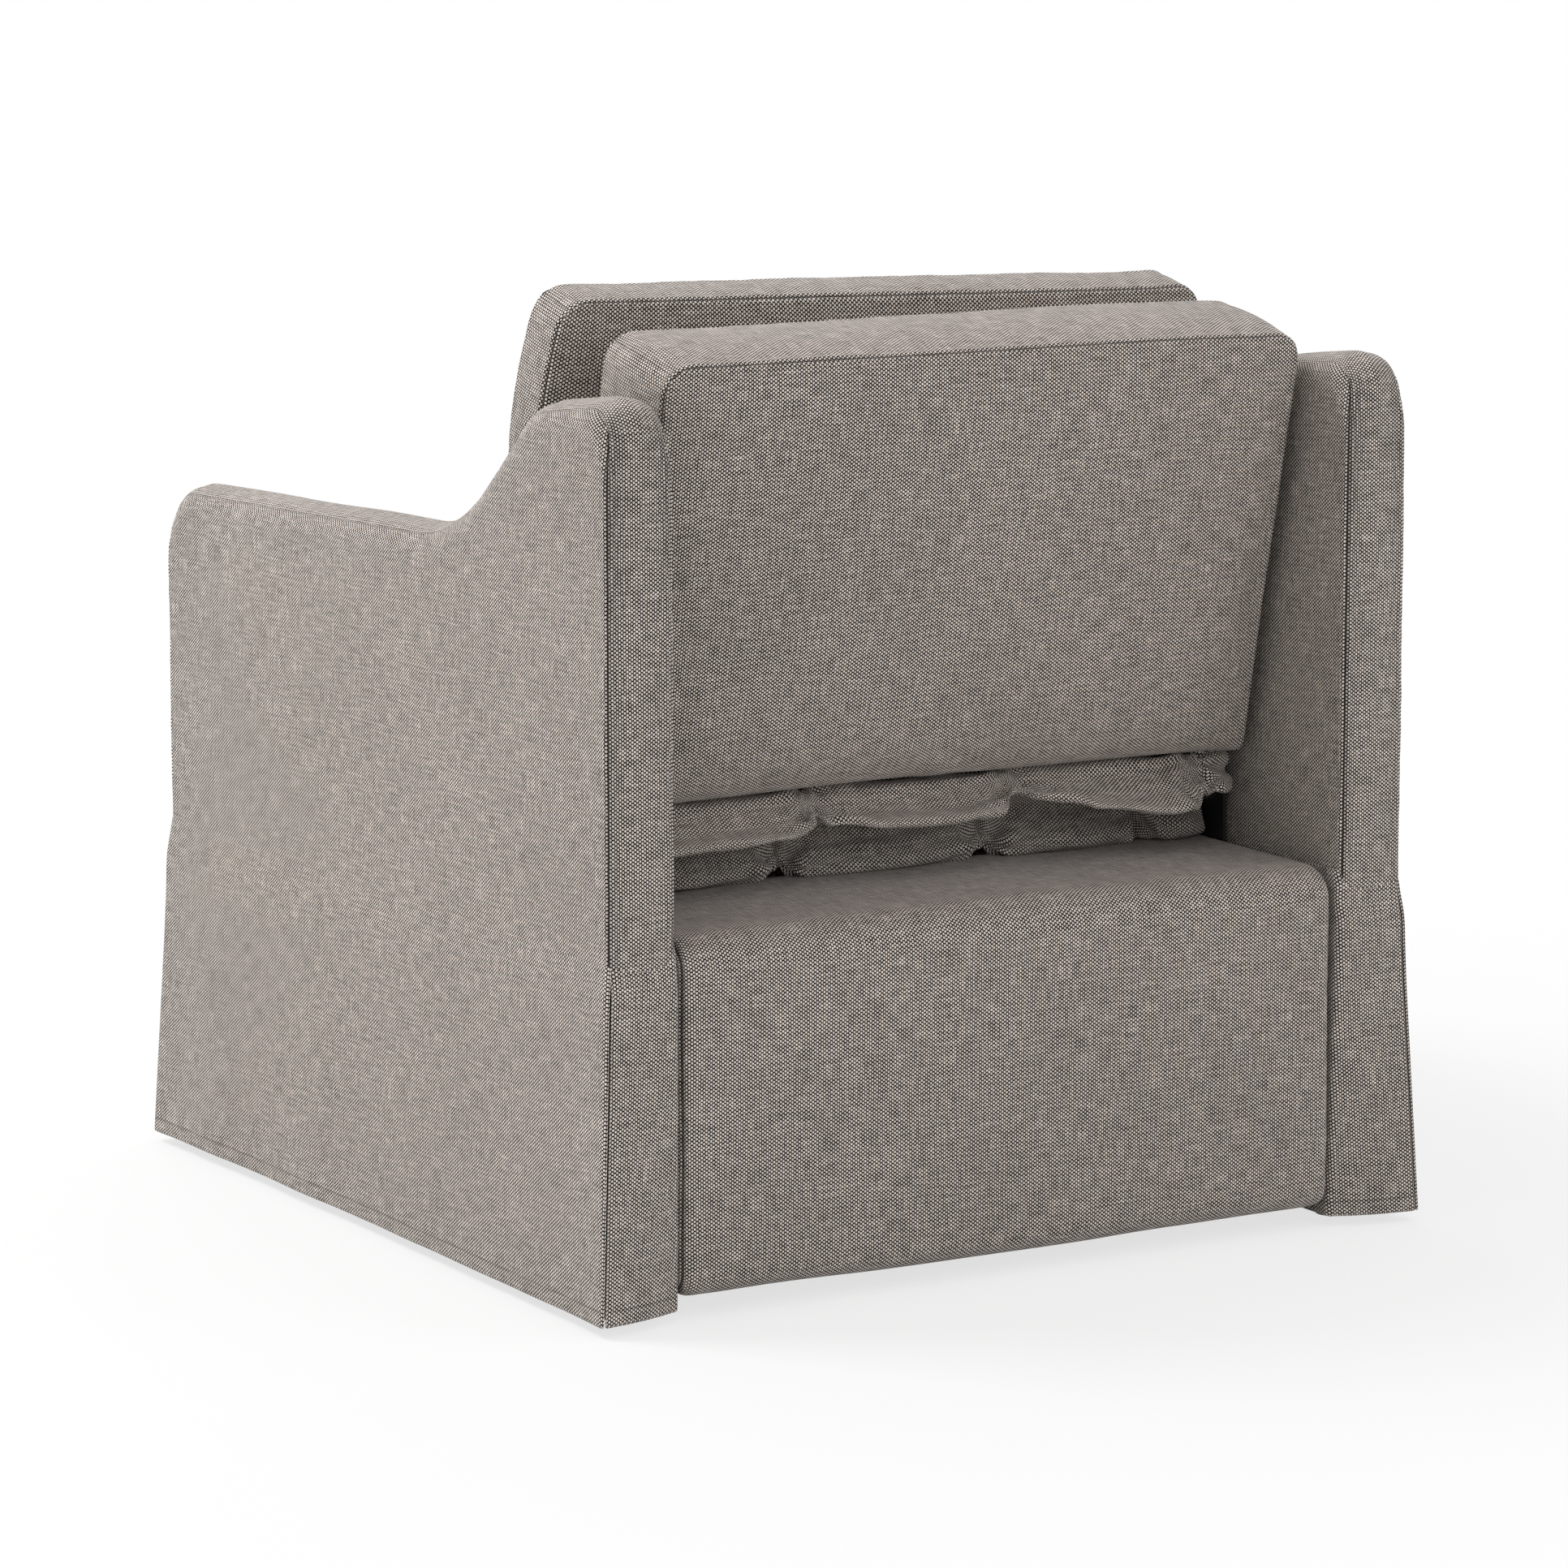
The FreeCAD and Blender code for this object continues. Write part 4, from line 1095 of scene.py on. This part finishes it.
def pull_out_front():
    """Front of the pull-out deck: padded board cover, skirt and the pull strap's loop."""
    low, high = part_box("pull_out_front_pad")
    sides = rounded_rectangle(high.x - low.x, high.z - low.z, (0.004,) * 4)
    thick = high.y - low.y

    def place(point, forward):
        x = point[:, 0] + (high.x + low.x) / 2
        z = point[:, 1] + (high.z + low.z) / 2
        return spots(x, high.y - forward, z)

    lead = [(0.0015, 0.0), (0.0003, 0.0012)]
    rings = lead + [(0.0, thick / 2)] + [(inset, thick - way) for inset, way in lead[::-1]]
    mesh = boxed("front_pad", sides, rings, place, (0.0, 0.0), cell=0.02)
    cushion("pull_out_front_cover", mesh, "deck", "pull_out_front_pad")
    drops, share, off = skirt_drops()
    drops = np.maximum(drops, 0)
    half = 0.350
    front = 0.447
    hollow = 0.003
    deep = 0.0012
    t = np.linspace(-1, 1, 60)
    y = -(front + flare(drops))[:, None] + hollow * share[:, None] * (1 - t ** 2)[None, :]
    y = y - deep * share[:, None] * rippled(t, 4.0, 8.3, 1.7)[None, :]
    middle = spots(t * half, y, (SKIRT_TOP - drops)[:, None])
    hang("pull_out_front_skirt", middle, "deck", "pull_out_skirt",
         cloth=middle[..., [0, 2]], stitch=off[:, None])
    loop = np.array([
        (-0.4500, 0.328), (-0.4506, 0.318), (-0.4515, 0.300), (-0.4535, 0.280), (-0.4555, 0.262),
        (-0.4580, 0.2525), (-0.4620, 0.2510), (-0.4645, 0.257), (-0.4635, 0.272), (-0.4600, 0.295),
        (-0.4555, 0.315), (-0.4530, 0.328),
    ])
    run = smooth_run(loop, 60)
    half_strap = 0.0195
    grid = spots(np.linspace(-half_strap, half_strap, 15), run[:, :1], run[:, 1:])
    strap = add_object("pull_strap_loop", sheet_mesh("strap", grid, 0.0018), FINISHES["webbing"],
                       "deck")
    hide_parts("pull_strap")
    sheet_size(grid)[0]


def smooth_run(points, count):
    """Smooth curve through points, sampled evenly."""
    padded = np.concatenate([2 * points[:1] - points[1:2], points, 2 * points[-1:] - points[-2:-1]])
    curve = []
    for k in range(1, len(padded) - 2):
        p0, p1, p2, p3 = padded[k - 1:k + 3]
        for t in np.linspace(0, 1, 12, endpoint=False):
            curve.append(0.5 * (2 * p1 + (p2 - p0) * t + (2 * p0 - 5 * p1 + 4 * p2 - p3) * t ** 2
                                + (3 * p1 - p0 - 3 * p2 + p3) * t ** 3))
    curve.append(points[-1])
    curve = np.array(curve)
    at = arc_share(curve)
    want = np.linspace(0, 1, count)
    return np.stack([np.interp(want, at, curve[:, k]) for k in range(curve.shape[1])], axis=-1)


def at_stations(stations, x):
    """Values at x, eased between the two nearest stations, which run from high X to low."""
    for a, b in zip(stations, stations[1:]):
        if a[0] >= x >= b[0]:
            t = (a[0] - x) / (a[0] - b[0])
            share = t * t * (3 - 2 * t)
            return [p + (q - p) * share for p, q in zip(a[1:], b[1:])]
    return list(stations[-1][1:])


def gather(name, node, stations, profile, pinches, seed):
    """Loose cloth across the chair, slung between pinches where it is drawn in."""
    half = 0.339
    block_top = 0.3522
    long_folds = 0.0036
    short_folds = 0.0015
    rays_deep = 0.0042
    ray_count = 9
    xs = np.linspace(half, -half, 190)
    grid = np.array([smooth_run(np.array(profile(*at_stations(stations, x))), 34) for x in xs])
    across = np.broadcast_to(xs[:, None, None], grid.shape[:2] + (1,))
    middle = np.concatenate([across, grid], axis=-1).transpose(1, 0, 2)
    out = unit(np.cross(np.gradient(middle, axis=1), np.gradient(middle, axis=0)))
    co = middle.reshape(-1, 3)
    folds = waves(co, (0.12, 0.012, 0.012), seed) * long_folds
    folds += waves(co, (0.035, 0.012, 0.012), seed + 2) * short_folds
    pull = np.zeros(len(co))
    calm = np.ones(len(co))
    for x, y, z, size in pinches:
        dx = co[:, 0] - x
        dz = 1.4 * (co[:, 2] - z + (co[:, 1] - y) * 0.6)
        far = np.hypot(dx, dz)
        rays = np.sin(ray_count * np.arctan2(dz, dx) + seed)
        pull += rays_deep * size * np.exp(-((far / 0.045) ** 2)) * rays
        calm -= 0.5 * np.exp(-((far / 0.03) ** 2))
    middle = middle + out * (folds * calm + pull).reshape(middle.shape[:2])[..., None]
    middle[..., 2] = np.maximum(middle[..., 2], block_top)
    obj = hang(name, middle, "chair", node, thick=0.0022)
    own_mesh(obj)


def gathers():
    """Two tiers of loose cloth between the rear block and the back.

    A station is X, the height of the cloth's lowest fold and how far it stands out; a pinch is
    X, Y, Z and its strength.
    """
    upper = [
        (0.339, 0.408, -0.018), (0.318, 0.400, 0.004), (0.286, 0.400, 0.006),
        (0.225, 0.402, 0.008), (0.170, 0.4045, 0.007), (0.142, 0.408, 0.003),
        (0.130, 0.419, -0.010), (0.118, 0.412, 0.001), (0.0585, 0.405, 0.007),
        (-0.005, 0.404, 0.008), (-0.066, 0.408, 0.003), (-0.088, 0.422, -0.010),
        (-0.106, 0.419, 0.000), (-0.1385, 0.413, 0.006), (-0.174, 0.403, 0.013),
        (-0.244, 0.394, 0.018), (-0.278, 0.393, 0.015), (-0.297, 0.408, -0.004),
        (-0.314, 0.402, -0.002), (-0.330, 0.404, -0.010), (-0.339, 0.410, -0.022),
    ]

    def pouch(low, out):
        """Section of the upper tier from the back down and under, in Y and Z."""
        return [
            (0.272, 0.4400), (0.286, 0.4370), (0.289, 0.4290), (0.293 + 0.2 * out, 0.4200),
            (0.302 + 0.6 * out, (0.4200 + low) / 2), (0.3140 + out, low + 0.0055),
            (0.3170 + out, low + 0.0015), (0.3110 + out, low - 0.0010),
            (0.297 + 0.6 * out, low + 0.001), (0.283, low + 0.008), (0.268, 0.4180), (0.258, 0.4260),
        ]

    pinches = [(0.130, 0.300, 0.424, 1.1), (-0.088, 0.300, 0.425, 1.1), (-0.298, 0.305, 0.422, 1.5)]
    gather("upper_gather_cloth", "upper_gather", upper, pouch, pinches, 2)
    lower = [
        (0.339, 0.353, 0.006), (0.250, 0.353, 0.010), (0.165, 0.354, 0.006), (0.134, 0.361, -0.010),
        (0.110, 0.354, 0.004), (0.030, 0.353, 0.012), (-0.060, 0.354, 0.006),
        (-0.090, 0.361, -0.010), (-0.114, 0.354, 0.005), (-0.190, 0.353, 0.014),
        (-0.250, 0.353, 0.008), (-0.268, 0.353, -0.024), (-0.284, 0.353, 0.006),
        (-0.310, 0.353, 0.010), (-0.339, 0.353, 0.000),
    ]

    def tier(low, out):
        """Section of the lower tier down to the top of the rear block, in Y and Z."""
        return [
            (0.254, 0.4170), (0.246, 0.4080), (0.241, 0.3970), (0.242 + 0.5 * out, 0.3850),
            (0.247 + 0.9 * out, 0.3740), (0.252 + out, low + 0.011), (0.252 + out, low + 0.004),
            (0.244 + 0.5 * out, low), (0.230, low),
        ]

    pinches = [(0.134, 0.246, 0.362, 1.5), (-0.090, 0.246, 0.362, 1.5), (-0.268, 0.245, 0.380, 0.8)]
    gather("lower_gather_cloth", "lower_gather", lower, tier, pinches, 7)


def stage():
    """Pale floor, white surround, a key lamp high on the sitter's left and two weak fills."""
    white = (1.0, 1.0, 1.0, 1.0)
    n = Nodes("studio_floor")
    n.feed(n.shader.inputs["Base Color"], (0.80, 0.80, 0.80, 1.0))
    n.feed(n.shader.inputs["Roughness"], 0.9)
    glow = n.node("ShaderNodeEmission")
    n.feed(glow.inputs["Color"], white)
    far = n.node("ShaderNodeVectorMath", operation="LENGTH")
    n.feed(far.inputs[0], n.place())
    share = n.choose(n.smooth(far.outputs["Value"], 0.7, 1.9), 0.72, 1.0)
    n.mixed(n.math("MULTIPLY", n.seen(), share), n.shader.outputs[0], glow.outputs[0],
            "Material Output")
    size = 6.0
    mesh = bpy.data.meshes.new("floor")
    corners = [(-size, -size, 0), (size, -size, 0), (size, size, 0), (-size, size, 0)]
    mesh.from_pydata(corners, [], [(0, 1, 2, 3)])
    mesh.materials.append(n.owner)
    in_scene("floor", mesh)

    n = Nodes("studio", "worlds")
    bpy.context.scene.world = n.owner
    light = n.tree.nodes["Background"]
    n.feed(light.inputs["Color"], white)
    n.feed(light.inputs["Strength"], 0.78)
    shown = n.node("ShaderNodeBackground")
    n.feed(shown.inputs["Color"], white)
    n.feed(shown.inputs["Strength"], 1.0)
    n.mixed(n.seen(), light.outputs[0], shown.outputs[0], "World Output")

    lamp("key", (2.2, -1.4, 3.8), 1.6, 105.0)
    lamp("rear_fill", (-2.5, 3.5, 2.0), 2.0, 15.0)
    lamp("front_fill", (-0.6, -3.6, 2.0), 2.5, 20.0)


def lamp(name, spot, size, power):
    """Square area lamp that faces the middle of the chair."""
    data = bpy.data.lights.new(name, "AREA")
    data.energy = power
    data.size = size
    aimed(in_scene(name, data), spot, Vector((0, 0, 0.4)) - Vector(spot))


def camera():
    """Camera at the photograph's place: behind the chair, to its left and slightly above."""
    yaw = math.radians(30.63)
    pitch = math.radians(9.65)
    data = bpy.data.cameras.new("photo_camera")
    data.sensor_width = 36.0
    data.lens = 148.2
    obj = in_scene("photo_camera", data)
    level = math.cos(pitch)
    look = (-math.sin(yaw) * level, -math.cos(yaw) * level, -math.sin(pitch))
    aimed(obj, (3.14, 5.331, 1.446), look)
    bpy.context.scene.camera = obj


dress_frame()
backrest()
loose_cushion()
seat()
rear_block()
arm("left", 1.0)
arm("right", -1.0)
pull_out_front()
gathers()
stage()
camera()
bpy.context.scene.view_settings.view_transform = "Standard"
